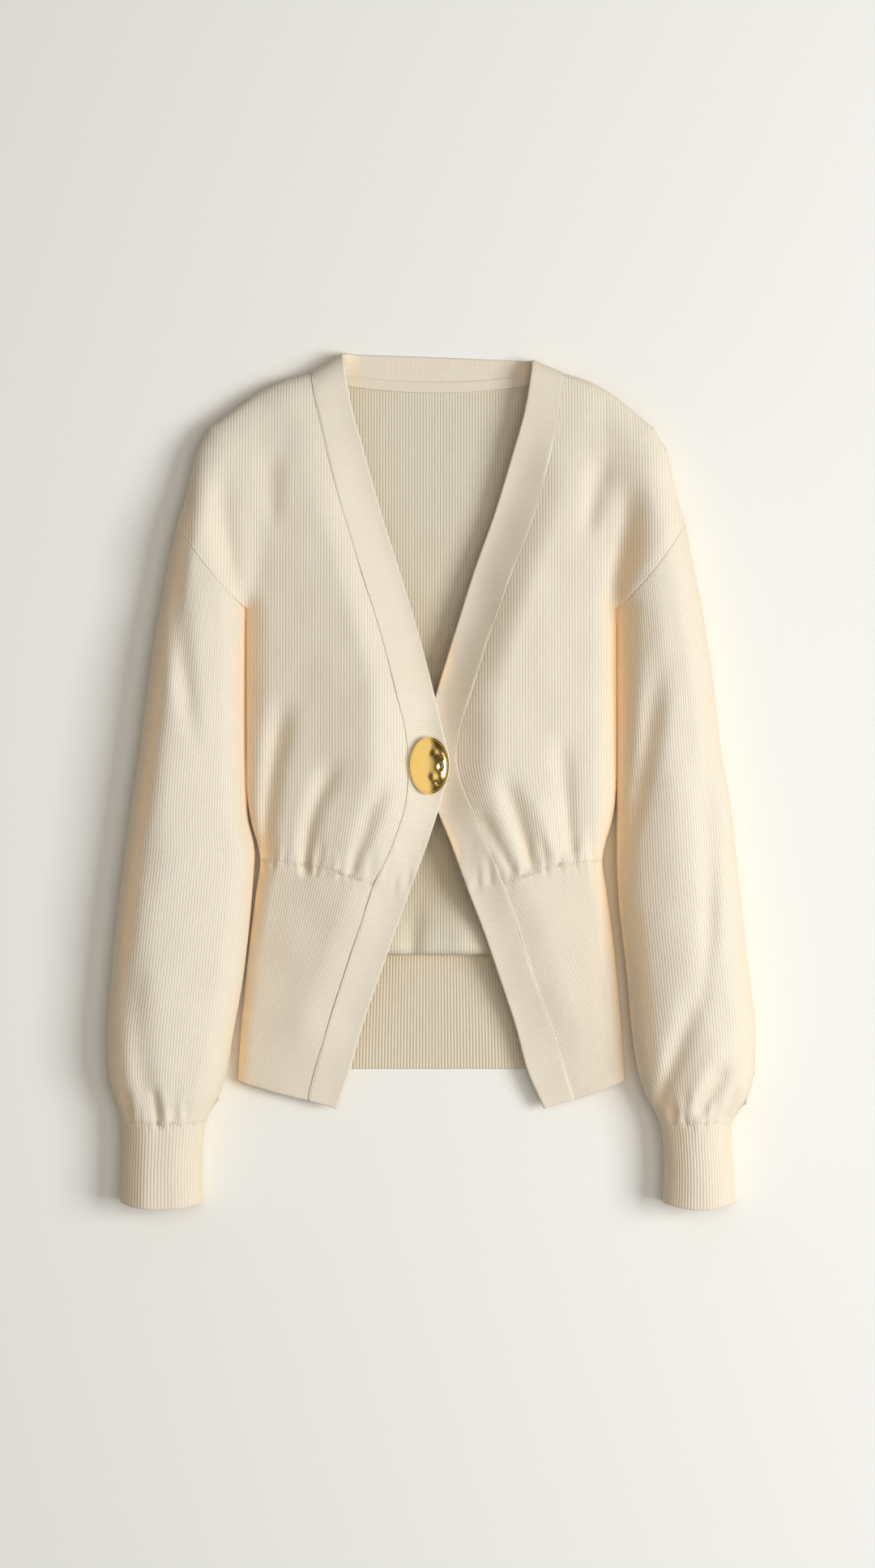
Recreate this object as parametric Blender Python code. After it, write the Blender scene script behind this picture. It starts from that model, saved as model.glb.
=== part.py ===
"""One-button V-neck cardigan in fine rib knit, laid on its back with the fronts crossing at the button.

Frame: +Z up from the table, +Y from hem to neck, +X towards the wearer's left. The origin is the middle
of the footprint on the table. Tables and sizes are millimetres, x counted outwards from the centre line.
"""
import math
from collections import namedtuple

import bmesh
import bpy
import numpy as np

MM = 0.001
RIGHT, LEFT = -1, 1            # the wearer's sides, as signs of x

# Cloth thicknesses, and the space left at every seam.
BODY_WALL = 2.0
RIB_WALL = 2.6
BAND_WALL = 3.4
BAND_PROUD = 0.9               # how far the front bands stand above the fronts
TAPE_WALL = 1.2
SEAM_GAP = 0.4
ARMHOLE_GAP = 0.5
NECK_GAP = 0.5
WAIST_GAP = 0.9
REST_GAP = 0.3

# Heights that the pieces meet at, along the length of the cardigan.
ARMPIT_Y = 143.0
SHOULDER_DROP_Y = 215.0        # where the armhole seam reaches the shoulder fold
SHOULDER_TIP_Y = 296.0
NECK_POINT_Y = 343.0           # where the shoulder line meets the front band
CUFF_SEAM_Y = -288.0
CUFF_END_Y = -356.5
CUFF_BOW = 4.0
BACK_HEM_Y = -245.0
BACK_ROLL = 16.0               # how far in the sides round away from the table

# Back of the body where it blouses over the top of the back waistband, inside the open fronts.
BLOUSE_END_Y = -147.0
BLOUSE_SIDE_Y = -67.0
BLOUSE_HEIGHT = 12.5
BLOUSE_CLEAR = 3.6
BLOUSE_ROLL = 9.0
WAISTBAND_UNDERLAP = 26.0

# Neck.
NECK_MIDDLE_X = 4.5
NECK_SEAM_Y = 332.0
NECK_FREE_Y = 357.5
TAPE_HALF_WIDTH = 4.6
TAPE_REACH = 80.0
TAPE_GAP = 0.7

# Button: an oval dome on a shank, sewn to the left band and through a slot in the right band.
BUTTON_X = -1.7
BUTTON_Y = 11.6
BUTTON_HALF_WIDTH = 16.5
BUTTON_HALF_HEIGHT = 24.0
SHANK_RADIUS = 2.5
SHANK_CLEAR = 0.9              # space between the shank and the curved left band below it
SLOT_WIDTH = 6.4
SLOT_LENGTH = 14.0
OVERLAP_LIFT = 6.2             # rise of the right front where its band lies on the left one
OVERLAP_Y = 21.0
OVERLAP_SPREAD_X = 80.0
OVERLAP_SPREAD_Y = 95.0

Side = namedtuple("Side", "y half")
BODY_SIDE = [                  # half width of the body and, below the waist seam, of the waistband
    Side(-255, 164), Side(-216, 161.5), Side(-189, 159), Side(-148, 155), Side(-120, 151.5),
    Side(-94, 148), Side(-68, 144.5), Side(-53, 147), Side(-40, 151), Side(-22, 154.5),
    Side(0, 156), Side(143, 156.3),
]

Sleeve = namedtuple("Sleeve", "y inner_right outer_right inner_left outer_left")
SLEEVE_EDGES = [
    Sleeve(-360, 193, 262, 195, 256), Sleeve(-330, 194, 261, 196.5, 254),
    Sleeve(-300, 192.5, 260, 195, 252.5), Sleeve(-288, 190.5, 261, 192.5, 253),
    Sleeve(-280, 187, 262, 189, 258), Sleeve(-268, 180, 267, 182, 266),
    Sleeve(-243, 172.5, 272.5, 174, 272), Sleeve(-216, 168, 272.8, 170, 272.8),
    Sleeve(-161, 158.5, 269, 165, 267), Sleeve(-93, 151.5, 262, 158, 259.5),
    Sleeve(-62, 149.5, 258, 157, 256), Sleeve(-28, 155.5, 253.5, 157, 252.5),
    Sleeve(29, 157, 245, 157.2, 243), Sleeve(83, 157, 238, 157.2, 237),
    Sleeve(124, 157, 232, 157.2, 231), Sleeve(143, 156.7, 228.5, 156.7, 228),
    Sleeve(178, 156.7, 222, 156.7, 221), Sleeve(215, 156.7, 214, 156.7, 214),
]

Drop = namedtuple("Drop", "y edge")
SHOULDER_DROP = [              # fold of the dropped shoulder, from the armhole seam to the shoulder tip
    Drop(215, 214), Drop(233, 208), Drop(255, 203), Drop(277, 198), Drop(296, 188), Drop(312, 186),
]

Band = namedtuple("Band", "y free seam")
RIGHT_BAND = [                 # x of the free edge and of the seam to the front, here with their signs
    Band(-280, -80.5, -106), Band(-243, -68, -97), Band(-209, -58.5, -87), Band(-168, -44.5, -74),
    Band(-127, -30, -60.5), Band(-88, -16, -47.5), Band(-53, -3, -31.5), Band(-15, 9, -20.5),
    Band(12, 15.3, -18.5), Band(40, 10, -21.5), Band(70, 3, -28.5), Band(124, -11, -42.5),
    Band(178, -27.5, -59.5), Band(226, -42.5, -74), Band(274, -56, -87), Band(314, -67, -96),
    Band(344, -72.5, -101), Band(361, -74.5, -103),
]
LEFT_BAND = [
    Band(-280, 96, 123), Band(-243, 80, 111.5), Band(-209, 71, 101), Band(-168, 57.5, 86.5),
    Band(-127, 43.5, 73.5), Band(-88, 28.5, 60.5), Band(-53, 16, 46), Band(-27, 5, 35),
    Band(0, -8, 24), Band(18, -13, 20.5), Band(40, -7, 23), Band(70, 3, 32.5),
    Band(124, 19.5, 49.5), Band(178, 36.5, 69), Band(226, 53.5, 87.5), Band(274, 68, 100),
    Band(314, 79, 108.5), Band(342, 83.5, 110.5), Band(355, 85, 111),
]
BANDS = {RIGHT: RIGHT_BAND, LEFT: LEFT_BAND}

Row = namedtuple("Row", "y seam bow")
BODY_ROWS = [                  # a row of the front leaves the side at height y, and meets the band seam
    Row(-67, -88, 4), Row(-10, -20, 0), Row(143, 161, 0), Row(215, 247, 0), Row(251, 290, 1),
    Row(296, 343, 8.5),
]
FLAP_ROWS = [Row(-254.5, -271, -1), Row(-165, -180, 0), Row(-67, -88, 4)]
Slant = namedtuple("Slant", "y rise")
BAND_SLANT = {                 # rise of a band row from its seam to its free edge
    RIGHT: [Slant(-271, -7), Slant(-235, 0), Slant(296, 0), Slant(343, 17)],
    LEFT: [Slant(-271, -7), Slant(-235, 0), Slant(306, 0), Slant(343, 11)],
}

Loft = namedtuple("Loft", "y crown drop edge reach")
Torso = namedtuple("Torso", "y crown drop_right drop_left edge reach sink")
TORSO_LOFT = [                 # crown, its drop at each side, side seam height, edge rounding, valley at the opening
    Torso(-280, 21, 8, 8, 6, 9, 3), Torso(-250, 26, 13, 13, 7, 10, 5),
    Torso(-210, 33, 17, 17, 8, 12, 10), Torso(-150, 39, 20, 20, 10, 13, 10),
    Torso(-90, 42, 20, 18, 12, 15, 11), Torso(-70, 43, 20, 17, 13, 16, 13),
    Torso(-50, 44, 19, 16, 14, 18, 15), Torso(-25, 45, 19, 14, 15, 21, 18),
    Torso(20, 45, 19, 12, 15, 23, 21), Torso(80, 44, 18, 11, 15, 24, 22),
    Torso(143, 42, 16, 10, 15, 24, 22), Torso(215, 38, 13, 9, 16, 24, 18),
    Torso(255, 35, 10, 7, 16, 23, 13), Torso(300, 30, 8, 5, 14, 21, 6),
    Torso(344, 26, 3, 3, 11, 18, 2), Torso(361, 24, 2, 2, 10, 17, 2),
]
FALL_POWER = 1.3               # how the body falls from its crown to its side
SINK_SPREAD = 60.0             # distance from the free edges over which the valley at the opening rises
SLEEVE_LOFT = [
    Loft(-360, 43, 4, 20, 31), Loft(-290, 42, 4, 20, 31), Loft(-268, 46, 6, 21, 33),
    Loft(-235, 52, 8, 23, 36), Loft(-160, 55, 10, 24, 40), Loft(-60, 54, 10, 24, 38),
    Loft(40, 53, 10, 24, 36), Loft(143, 50, 8, 24, 34), Loft(215, 47, 6, 22, 33),
    Loft(255, 40, 5, 20, 32), Loft(300, 30, 4, 17, 28),
]

Fold = namedtuple("Fold", "side x0 y0 x1 y1 bow width depth hold")
FOLDS = [                      # from a start to an end; hold is the share of its depth kept at the end
    Fold(RIGHT, 172, 272, 158, 146, 3, 13, -6, 0.2),     # valleys where the armholes pull in
    Fold(LEFT, 172, 262, 158, 146, 3, 13, -7, 0.5),
    Fold(RIGHT, 110, 76, 134, -68, 5, 9, -10, 0.9),      # gathers above the waist seam
    Fold(RIGHT, 63, 22, 104, -78, 4, 8, -7, 1.0),
    Fold(RIGHT, 27, 12, 66, -82, 4, 8, -6, 1.0),
    Fold(LEFT, 30, -18, 74, -82, -3, 8, -5, 1.0),
    Fold(LEFT, 63, 10, 91, -78, 2, 8, -8, 1.0),
    Fold(LEFT, 114, 42, 122, -68, 2, 9, -7, 1.0),
    Fold(RIGHT, 209, 206, 189, 15, 6, 12, -7, 0.0),      # sleeves
    Fold(RIGHT, 240, -130, 231, -284, 5, 10, -9, 1.0),
    Fold(RIGHT, 206, -215, 203, -284, 0, 8, -6, 1.0),
    Fold(LEFT, 202, 117, 168, -66, 2, 10, -6, 0.0),
    Fold(LEFT, 233, 42, 236, -130, 4, 11, -6, 0.3),
    Fold(LEFT, 236, -110, 194, -282, -6, 11, -11, 1.0),
    Fold(LEFT, 253, -200, 220, -284, -3, 10, 5, 1.0),
]
FOLD_RAMP = 0.35               # share of a fold's length over which it deepens or fades

# Steps across the pieces; the ones at a rolled edge are closer.
ACROSS_FRONT = (0, 0.014, 0.055, 0.12, 0.2, 0.31, 0.44, 0.58, 0.72, 0.86, 1)
ACROSS_BAND = (0, 0.5, 1)
ACROSS_BACK = np.array((0, 0.22, 0.42, 0.535, 0.6, 0.73, 0.85, 0.94, 0.985, 1))
SLEEVE_STEPS = 8
ACROSS_SLEEVE = 0.5 - 0.5 * np.cos(np.pi * np.arange(SLEEVE_STEPS + 1) / SLEEVE_STEPS)
# Heights at the side of the rows of each piece; those on the armhole match the steps of the sleeve.
ARMHOLE_ROWS = tuple(SHOULDER_DROP_Y + (ARMPIT_Y - SHOULDER_DROP_Y) * ACROSS_SLEEVE[::-1])
FRONT_ROWS = ((-67, -57, -41, -24, -9, 4, 16, 28, 41, 56, 74, 95, 118) + ARMHOLE_ROWS
              + (232, 250, 265, 277, 286, 292, 295.2, 296))
BACK_ROWS = ((-67, -66, -63.6, -60, -55, -48, -39, -28, -14, 20, 60, 100) + ARMHOLE_ROWS
             + (236, 258, 276, 288, 294, 296))
WAIST_ROWS = (-254.5, -240, -222, -195, -164, -132, -98, -67)


def curve(rows, column):
    """A smooth curve without overshoot through one column of a table, against its y."""
    table = sorted((row.y, getattr(row, column)) for row in rows)
    at, value = np.array(table, dtype=float).T
    step = np.diff(at)
    secant = np.diff(value) / step
    slope = np.concatenate(([secant[0]], np.zeros(len(secant) - 1), [secant[-1]]))
    product = secant[:-1] * secant[1:]
    same = product > 0
    total = np.where(same, secant[:-1] + secant[1:], 1.0)
    slope[1:-1] = np.where(same, 2 * product / total, 0.0)

    def read(where):
        where = np.clip(np.asarray(where, dtype=float), at[0], at[-1])
        i = np.clip(np.searchsorted(at, where) - 1, 0, len(step) - 1)
        t = (where - at[i]) / step[i]
        rise = value[i] * (1 + 2 * t) * (1 - t) ** 2 + value[i + 1] * t * t * (3 - 2 * t)
        return rise + step[i] * (slope[i] * t * (1 - t) ** 2 + slope[i + 1] * t * t * (t - 1))

    return read


def mix(a, b, t):
    return a + (b - a) * t


def ease(t):
    """Smooth step from 0 to 1."""
    t = np.clip(t, 0.0, 1.0)
    return t * t * (3 - 2 * t)


body_side = curve(BODY_SIDE, "half")
shoulder_drop = curve(SHOULDER_DROP, "edge")
sleeve_inner = {RIGHT: curve(SLEEVE_EDGES, "inner_right"), LEFT: curve(SLEEVE_EDGES, "inner_left")}
sleeve_outer = {RIGHT: curve(SLEEVE_EDGES, "outer_right"), LEFT: curve(SLEEVE_EDGES, "outer_left")}
band_free = {side: curve(rows, "free") for side, rows in BANDS.items()}
band_seam = {side: curve(rows, "seam") for side, rows in BANDS.items()}
band_slant = {side: curve(rows, "rise") for side, rows in BAND_SLANT.items()}
torso_loft = {name: curve(TORSO_LOFT, name) for name in Torso._fields[1:]}
sleeve_loft = {name: curve(SLEEVE_LOFT, name) for name in ("crown", "drop", "edge", "reach")}


def armhole_x(side, y):
    """The armhole seam, which runs down and in from the shoulder fold to the armpit."""
    down = (SHOULDER_DROP_Y - y) / (SHOULDER_DROP_Y - ARMPIT_Y)
    return mix(sleeve_outer[side](y), sleeve_inner[side](y), down)


def body_edge(side, y):
    """Outer edge of the body, as a distance from the centre line: side, armhole, then shoulder fold."""
    upper = np.where(y < SHOULDER_DROP_Y, armhole_x(side, y), shoulder_drop(y))
    return np.where(y <= ARMPIT_Y, body_side(y), upper)


def front_plan(side, rows, side_heights, across):
    """Plan of a front or flap: rows from the outer edge (0) to the band seam (1)."""
    side_y = np.array(side_heights, dtype=float)[:, None]
    u = np.array(across, dtype=float)[None, :]
    y = mix(side_y, curve(rows, "seam")(side_y), u) + curve(rows, "bow")(side_y) * np.sin(np.pi * u)
    x = mix(side * body_edge(side, y), band_seam[side](y), u)
    return x, y


def outline(side):
    """Lines in plan that the cloth rounds away at, as (start, end) pairs, x outwards positive."""
    arm_y = np.linspace(-360, SHOULDER_DROP_Y, 70)
    drop_y = np.linspace(SHOULDER_DROP_Y, SHOULDER_TIP_Y, 12)
    top_x, top_y = front_plan(side, BODY_ROWS, (SHOULDER_TIP_Y,), np.linspace(0, 1, 12))
    neck_u = np.linspace(0, 1, 4)
    neck_y = NECK_POINT_Y + band_slant[side](NECK_POINT_Y) * neck_u
    neck_x = side * mix(band_seam[side](neck_y), band_free[side](neck_y), neck_u)
    outer = np.concatenate((
        np.column_stack((sleeve_outer[side](arm_y), arm_y)),
        np.column_stack((shoulder_drop(drop_y), drop_y))[1:],
        np.column_stack((side * top_x[0], top_y[0]))[1:],
        np.column_stack((neck_x, neck_y))[1:]))
    side_y = np.linspace(-300, ARMPIT_Y, 60)
    torso = np.column_stack((body_side(side_y), side_y))
    inner_y = np.linspace(ARMPIT_Y, -360, 60)
    inner = np.column_stack((sleeve_inner[side](inner_y), inner_y))
    lines = (outer, torso, inner)
    return np.concatenate([line[:-1] for line in lines]), np.concatenate([line[1:] for line in lines])


OUTLINES = {side: outline(side) for side in (RIGHT, LEFT)}


def inset(x, y):
    """Distance in from the nearest outline, and the direction in plan that leads away from it."""
    flat_x, flat_y = np.ravel(x), np.ravel(y)
    depth = np.zeros_like(flat_x)
    away = np.zeros((len(flat_x), 2))
    for side in (RIGHT, LEFT):
        chosen = np.flatnonzero((flat_x < 0) == (side == RIGHT))
        start, end = OUTLINES[side]
        points = np.column_stack((side * flat_x[chosen], flat_y[chosen]))
        run = end - start
        from_start = points[:, None, :] - start[None]
        t = np.clip((from_start * run).sum(2) / (run * run).sum(1), 0, 1)
        offset = from_start - t[:, :, None] * run[None]
        distance = np.sqrt((offset ** 2).sum(2))
        nearest = distance.argmin(1)
        index = np.arange(len(chosen))
        depth[chosen] = distance[index, nearest]
        direction = offset[index, nearest]
        inward = np.column_stack((-run[nearest, 1], run[nearest, 0]))
        inward /= np.linalg.norm(inward, axis=1)[:, None]
        near = depth[chosen] < 0.3
        direction = np.where(near[:, None], inward, direction / np.maximum(depth[chosen], 1e-6)[:, None])
        away[chosen] = direction * (side, 1)
    return depth.reshape(x.shape), away[:, 0].reshape(x.shape), away[:, 1].reshape(x.shape)


def torso_crown(side, x, y):
    """Height of the body's upper layer: a ridge beside the opening that falls to the side and into it."""
    drop = torso_loft["drop_right" if side == RIGHT else "drop_left"](y)
    fall = drop * np.clip(np.abs(x) / body_side(0), 0, 1.4) ** FALL_POWER
    free_right, free_left = band_free[RIGHT](y), band_free[LEFT](y)
    half_gap = np.maximum(free_left - free_right, 0) / 2
    from_edge = np.maximum(np.abs(x - (free_right + free_left) / 2) - half_gap, 0)
    return torso_loft["crown"](y) - fall - torso_loft["sink"](y) * (1 - ease(from_edge / SINK_SPREAD))


def loft(x, y, name):
    """A column of the loft tables at a point: the body's, the sleeve's, blended above the armpit."""
    out = np.abs(x)
    result = np.zeros_like(out)
    for side in (RIGHT, LEFT):
        here = (x < 0) == (side == RIGHT)
        inner, outer = sleeve_inner[side](y), sleeve_outer[side](y)
        torso, sleeve = torso_loft[name](y), sleeve_loft[name](y)
        if name == "crown":
            torso = torso_crown(side, x, y)
            middle, half = (inner + outer) / 2, (outer - inner) / 2
            sleeve = sleeve - sleeve_loft["drop"](y) * np.clip((out - middle) / half, -1.2, 1.2) ** 2
        divide = (np.where(y < ARMPIT_Y, body_side(y), inner) + inner) / 2
        share = ease(0.5 + (out - divide) / (0.5 + 1.4 * np.maximum(0, y - ARMPIT_Y)))
        result = np.where(here, mix(torso, sleeve, share), result)
    return result


def fold_height(x, y):
    """Sum of the folds: soft troughs and ridges that deepen along their length."""
    height = np.zeros_like(x)
    for fold in FOLDS:
        start_x, run_x, run_y = fold.side * fold.x0, fold.side * (fold.x1 - fold.x0), fold.y1 - fold.y0
        length = math.hypot(run_x, run_y)
        t = ((x - start_x) * run_x + (y - fold.y0) * run_y) / length ** 2
        aside = ((x - start_x) * run_y - (y - fold.y0) * run_x) / length
        aside = aside - fold.side * fold.bow * 4 * t * (1 - t)
        end = fold.hold + (1 - fold.hold) * ease((1 - t) / FOLD_RAMP)
        past = np.exp(-(np.maximum(t - 1, 0) * length / fold.width) ** 2)
        height += fold.depth * np.exp(-(aside / fold.width) ** 2) * ease(t / FOLD_RAMP) * end * past
    return height


def slope_of(field, x, y):
    """Slope of a smooth field along x and y."""
    step = 0.5
    return ((field(x + step, y) - field(x - step, y)) / (2 * step),
            (field(x, y + step) - field(x, y - step)) / (2 * step))


def unit(nx, ny, nz):
    normal = np.stack((nx, ny, nz), axis=-1)
    return normal / np.linalg.norm(normal, axis=-1, keepdims=True)


def edge_height(x, y):
    return loft(x, y, "edge")


def overlap_lift(x, y):
    """Rise of the right front and its band towards the place where they lie on the left band."""
    return OVERLAP_LIFT * np.exp(-(x / OVERLAP_SPREAD_X) ** 2 - ((y - OVERLAP_Y) / OVERLAP_SPREAD_Y) ** 2)


def top_surface(x, y, lifted=False):
    """Outer face of the upper layer, with its normal: a crown that rounds down to the side seams."""
    lift = overlap_lift if lifted else (lambda px, py: 0.0 * px)

    def rise(px, py):
        return loft(px, py, "crown") - edge_height(px, py) + fold_height(px, py) + lift(px, py)

    depth, away_x, away_y = inset(x, y)
    reach = loft(x, y, "reach")
    t = np.clip(depth / reach, 0, 1)
    s = np.sqrt(t * (2 - t))
    height = rise(x, y)
    edge_x, edge_y = slope_of(edge_height, x, y)
    rise_x, rise_y = slope_of(rise, x, y)
    steep = height * (1 - t) / reach
    slope_x = s * edge_x + s * s * rise_x + steep * away_x
    slope_y = s * edge_y + s * s * rise_y + steep * away_y
    z = edge_height(x, y) + height * s
    return np.stack((x, y, z), axis=-1), unit(-slope_x, -slope_y, np.maximum(s, 1e-6))


def under_surface(x, y):
    """Outer face of the lower layer: flat on the table, rounding up to the side seams."""
    depth, away_x, away_y = inset(x, y)
    t = np.clip(depth / BACK_ROLL, 0, 1)
    s = np.sqrt(t * (2 - t))
    edge = edge_height(x, y)
    edge_x, edge_y = slope_of(edge_height, x, y)
    steep = edge * (1 - t) / BACK_ROLL
    slope_x = s * (1 - s) * edge_x - steep * away_x
    slope_y = s * (1 - s) * edge_y - steep * away_y
    z = edge * (1 - s)
    return np.stack((x, y, z), axis=-1), unit(slope_x, slope_y, -np.maximum(s, 1e-6))


def make_material(name, colour, roughness, metallic=0.0):
    material = bpy.data.materials.new(name)
    material.use_nodes = True
    shader = material.node_tree.nodes["Principled BSDF"]
    shader.inputs["Base Color"].default_value = (*colour, 1.0)
    shader.inputs["Roughness"].default_value = roughness
    shader.inputs["Metallic"].default_value = metallic
    return material


def add_object(name, vertices, faces, material):
    """An object with a closed mesh from points in millimetres, its faces turned outwards."""
    mesh = bpy.data.meshes.new(name)
    mesh.from_pydata([tuple(point) for point in np.asarray(vertices) * MM], [], faces)
    shape = bmesh.new()
    shape.from_mesh(mesh)
    bmesh.ops.recalc_face_normals(shape, faces=shape.faces)
    shape.to_mesh(mesh)
    shape.free()
    mesh.shade_smooth()
    mesh.set_sharp_from_angle(angle=math.radians(50))
    mesh.materials.append(material)
    made = bpy.data.objects.new(name, mesh)
    bpy.context.scene.collection.objects.link(made)
    return made


def add_wall(name, outer, inner, material, ring=False):
    """Cloth wall between two grids of points; a ring closes on itself across its columns."""
    rows, columns = outer.shape[:2]
    count = rows * columns
    vertices = np.concatenate((outer.reshape(-1, 3), inner.reshape(-1, 3)))
    spans = [(c, (c + 1) % columns) for c in range(columns if ring else columns - 1)]
    faces = []
    for r in range(rows - 1):
        for c, d in spans:
            quad = (r * columns + c, r * columns + d, (r + 1) * columns + d, (r + 1) * columns + c)
            faces.append(quad)
            faces.append(tuple(count + index for index in reversed(quad)))
    for r in (0, rows - 1):
        faces += [(r * columns + c, r * columns + d, count + r * columns + d, count + r * columns + c)
                  for c, d in spans]
    if not ring:
        for c in (0, columns - 1):
            faces += [(r * columns + c, (r + 1) * columns + c, count + (r + 1) * columns + c,
                       count + r * columns + c) for r in range(rows - 1)]
    return add_object(name, vertices, faces, material)


def shell(surface, x, y, wall, proud=0.0, **options):
    """Outer and inner grids of a wall on a surface."""
    points, normals = surface(x, y, **options)
    return points + normals * proud, points + normals * (proud - wall)


def add_front(side, name, rows, side_heights, wall, material):
    """A front panel or the flap of waistband below it."""
    x, y = front_plan(side, rows, side_heights, ACROSS_FRONT)
    x[:, -1] += side * SEAM_GAP / 2
    y[0] += SEAM_GAP / 2
    y[-1] -= SEAM_GAP / 2
    outer, inner = shell(top_surface, x, y, wall, lifted=side == RIGHT)
    for grid in (outer, inner):
        grid[:, 0, 2] += SEAM_GAP / 2
    if rows is BODY_ROWS:
        outer[-1, :, 2] += SEAM_GAP / 2
        inner[-1, :, 2] += SEAM_GAP / 2
    return add_wall(name, outer, inner, material)


def band_plan(side, seam_heights, across):
    """Plan of a front band, from its seam (0) to its free edge (1)."""
    seam_y = np.array(seam_heights, dtype=float)[:, None]
    u = np.array(across, dtype=float)[None, :]
    y = seam_y + band_slant[side](seam_y) * u
    return mix(band_seam[side](y), band_free[side](y), u), y


def add_band(side, name, material):
    heights = (*curve(FLAP_ROWS, "seam")(WAIST_ROWS), *curve(BODY_ROWS, "seam")(FRONT_ROWS[1:]))
    x, y = band_plan(side, heights, ACROSS_BAND)
    x[:, 0] -= side * SEAM_GAP / 2
    outer, inner = shell(top_surface, x, y, BAND_WALL, BAND_PROUD, lifted=side == RIGHT)
    for grid in (outer, inner):
        grid[-1, :, 2] += SEAM_GAP / 2
    return add_wall(name, outer, inner, material)


def sleeve_plan(side, top, bottom, rows):
    """Plan of a sleeve or cuff, from its outer edge (0) to its inner edge (1), closer at the edges."""
    y = mix(top(ACROSS_SLEEVE)[None, :], bottom(ACROSS_SLEEVE)[None, :], np.array(rows)[:, None])
    return side * mix(sleeve_outer[side](y), sleeve_inner[side](y), ACROSS_SLEEVE[None, :]), y


def add_sleeve(side, name, plan, wall, material):
    """A sleeve or cuff as one ring: its upper layer outwards to inwards, its lower layer back again."""
    x, y = plan
    upper, lower = shell(top_surface, x, y, wall), shell(under_surface, x, y, wall)
    grids = [np.concatenate((up, down[:, -2:0:-1]), axis=1) for up, down in zip(upper, lower)]
    return add_wall(name, grids[0], grids[1], material, ring=True)


def add_sleeves(side, word, body_knit, rib_knit):
    seam = SEAM_GAP / 2

    def armhole(across):
        return mix(SHOULDER_DROP_Y, ARMPIT_Y, across) - ARMHOLE_GAP

    def cuff_seam(across):
        return CUFF_SEAM_Y + 0 * across

    def cuff_end(across):
        return CUFF_END_Y - CUFF_BOW * np.sin(np.pi * across)

    rows = np.concatenate((np.linspace(0, 0.82, 13), (0.88, 0.93, 0.97, 1.0)))
    sleeve = sleeve_plan(side, armhole, lambda across: cuff_seam(across) + seam, rows)
    cuff = sleeve_plan(side, lambda across: cuff_seam(across) - seam, cuff_end, (0, 0.12, 0.45, 0.8, 1))
    add_sleeve(side, "sleeve_" + word, sleeve, BODY_WALL, body_knit)
    add_sleeve(side, "cuff_" + word, cuff, RIB_WALL, rib_knit)


def blouse_end(share):
    """Lower end of the back body: its seam at the sides, its blousing fold in the middle."""
    return mix(BLOUSE_END_Y, BLOUSE_SIDE_Y, ease((np.abs(share) - 0.45) / 0.55))


def back_top(share):
    """Upper edge of the back: the shoulder lines, with the back neck scooped between them."""
    x = share * shoulder_drop(SHOULDER_TIP_Y)
    high = neck_seam(x)
    for side in (RIGHT, LEFT):
        line_x, line_y = front_plan(side, BODY_ROWS, (SHOULDER_TIP_Y,), np.linspace(0, 1, 25))
        shoulder = np.interp(side * x, side * line_x[0][::-1], line_y[0][::-1])
        high = np.where(side * x > side * line_x[0, -1], shoulder, high)
    return high


def neck_seam(x):
    return NECK_SEAM_Y + 11.0 * np.clip(np.abs(x - NECK_MIDDLE_X) / 106.0, 0, 1) ** 2


def add_back(body_knit):
    """Back of the body: flat on the table, blousing up at its lower end over the waistband."""
    share = np.concatenate((-ACROSS_BACK[:0:-1], ACROSS_BACK))[None, :]
    rows = (np.array(BACK_ROWS)[:, None] - BACK_ROWS[0]) / (BACK_ROWS[-1] - BACK_ROWS[0])
    side_share = np.abs(share) ** 8
    y = mix(blouse_end(share), back_top(share) - SEAM_GAP / 2 * (1 - side_share), rows)
    edge_right, edge_left = body_edge(RIGHT, y), body_edge(LEFT, y)
    x = share * np.where(share < 0, edge_right, edge_left)
    points, normals = under_surface(x, y)
    inner = points - normals * BODY_WALL
    from_end = y - y[0]
    middle = ease((0.95 - np.abs(share)) / 0.14)
    roll = np.clip(from_end / BLOUSE_ROLL, 0, 1)
    hump = BLOUSE_HEIGHT * (1 - ease((from_end - BLOUSE_ROLL) / 38)) * np.sqrt(roll * (2 - roll))
    clear = BLOUSE_CLEAR * (1 - ease((from_end - 34) / 26))
    for grid in (points, inner):
        grid[:, :, 2] += middle * (hump + clear) - 0.5 * SEAM_GAP * side_share
    lean = middle * (1 - roll) * BODY_WALL
    inner[:, :, 1] += lean
    inner[:, :, 2] -= lean * 0.6
    return add_wall("back", points, inner, body_knit)


def add_back_waistband(rib_knit):
    """Back waistband: flat on the table, its upper edge under the blousing back."""
    share = np.concatenate((-ACROSS_BACK[:0:-1], ACROSS_BACK))[None, :]
    rows = np.array((0, 0.25, 0.5, 0.75, 0.9, 1))[:, None]
    underlap = ease((0.8 - np.abs(share)) / 0.2) * WAISTBAND_UNDERLAP
    high = blouse_end(share) + underlap - WAIST_GAP
    low = mix(BACK_HEM_Y, FLAP_ROWS[0].y, np.abs(share) ** 6)
    y = mix(low, high, rows)
    outer, inner = shell(under_surface, share * body_side(y), y, RIB_WALL)
    for grid in (outer, inner):
        grid[:, :, 2] -= 0.5 * SEAM_GAP * np.abs(share) ** 12
    return add_wall("waistband_back", outer, inner, rib_knit)


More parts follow.
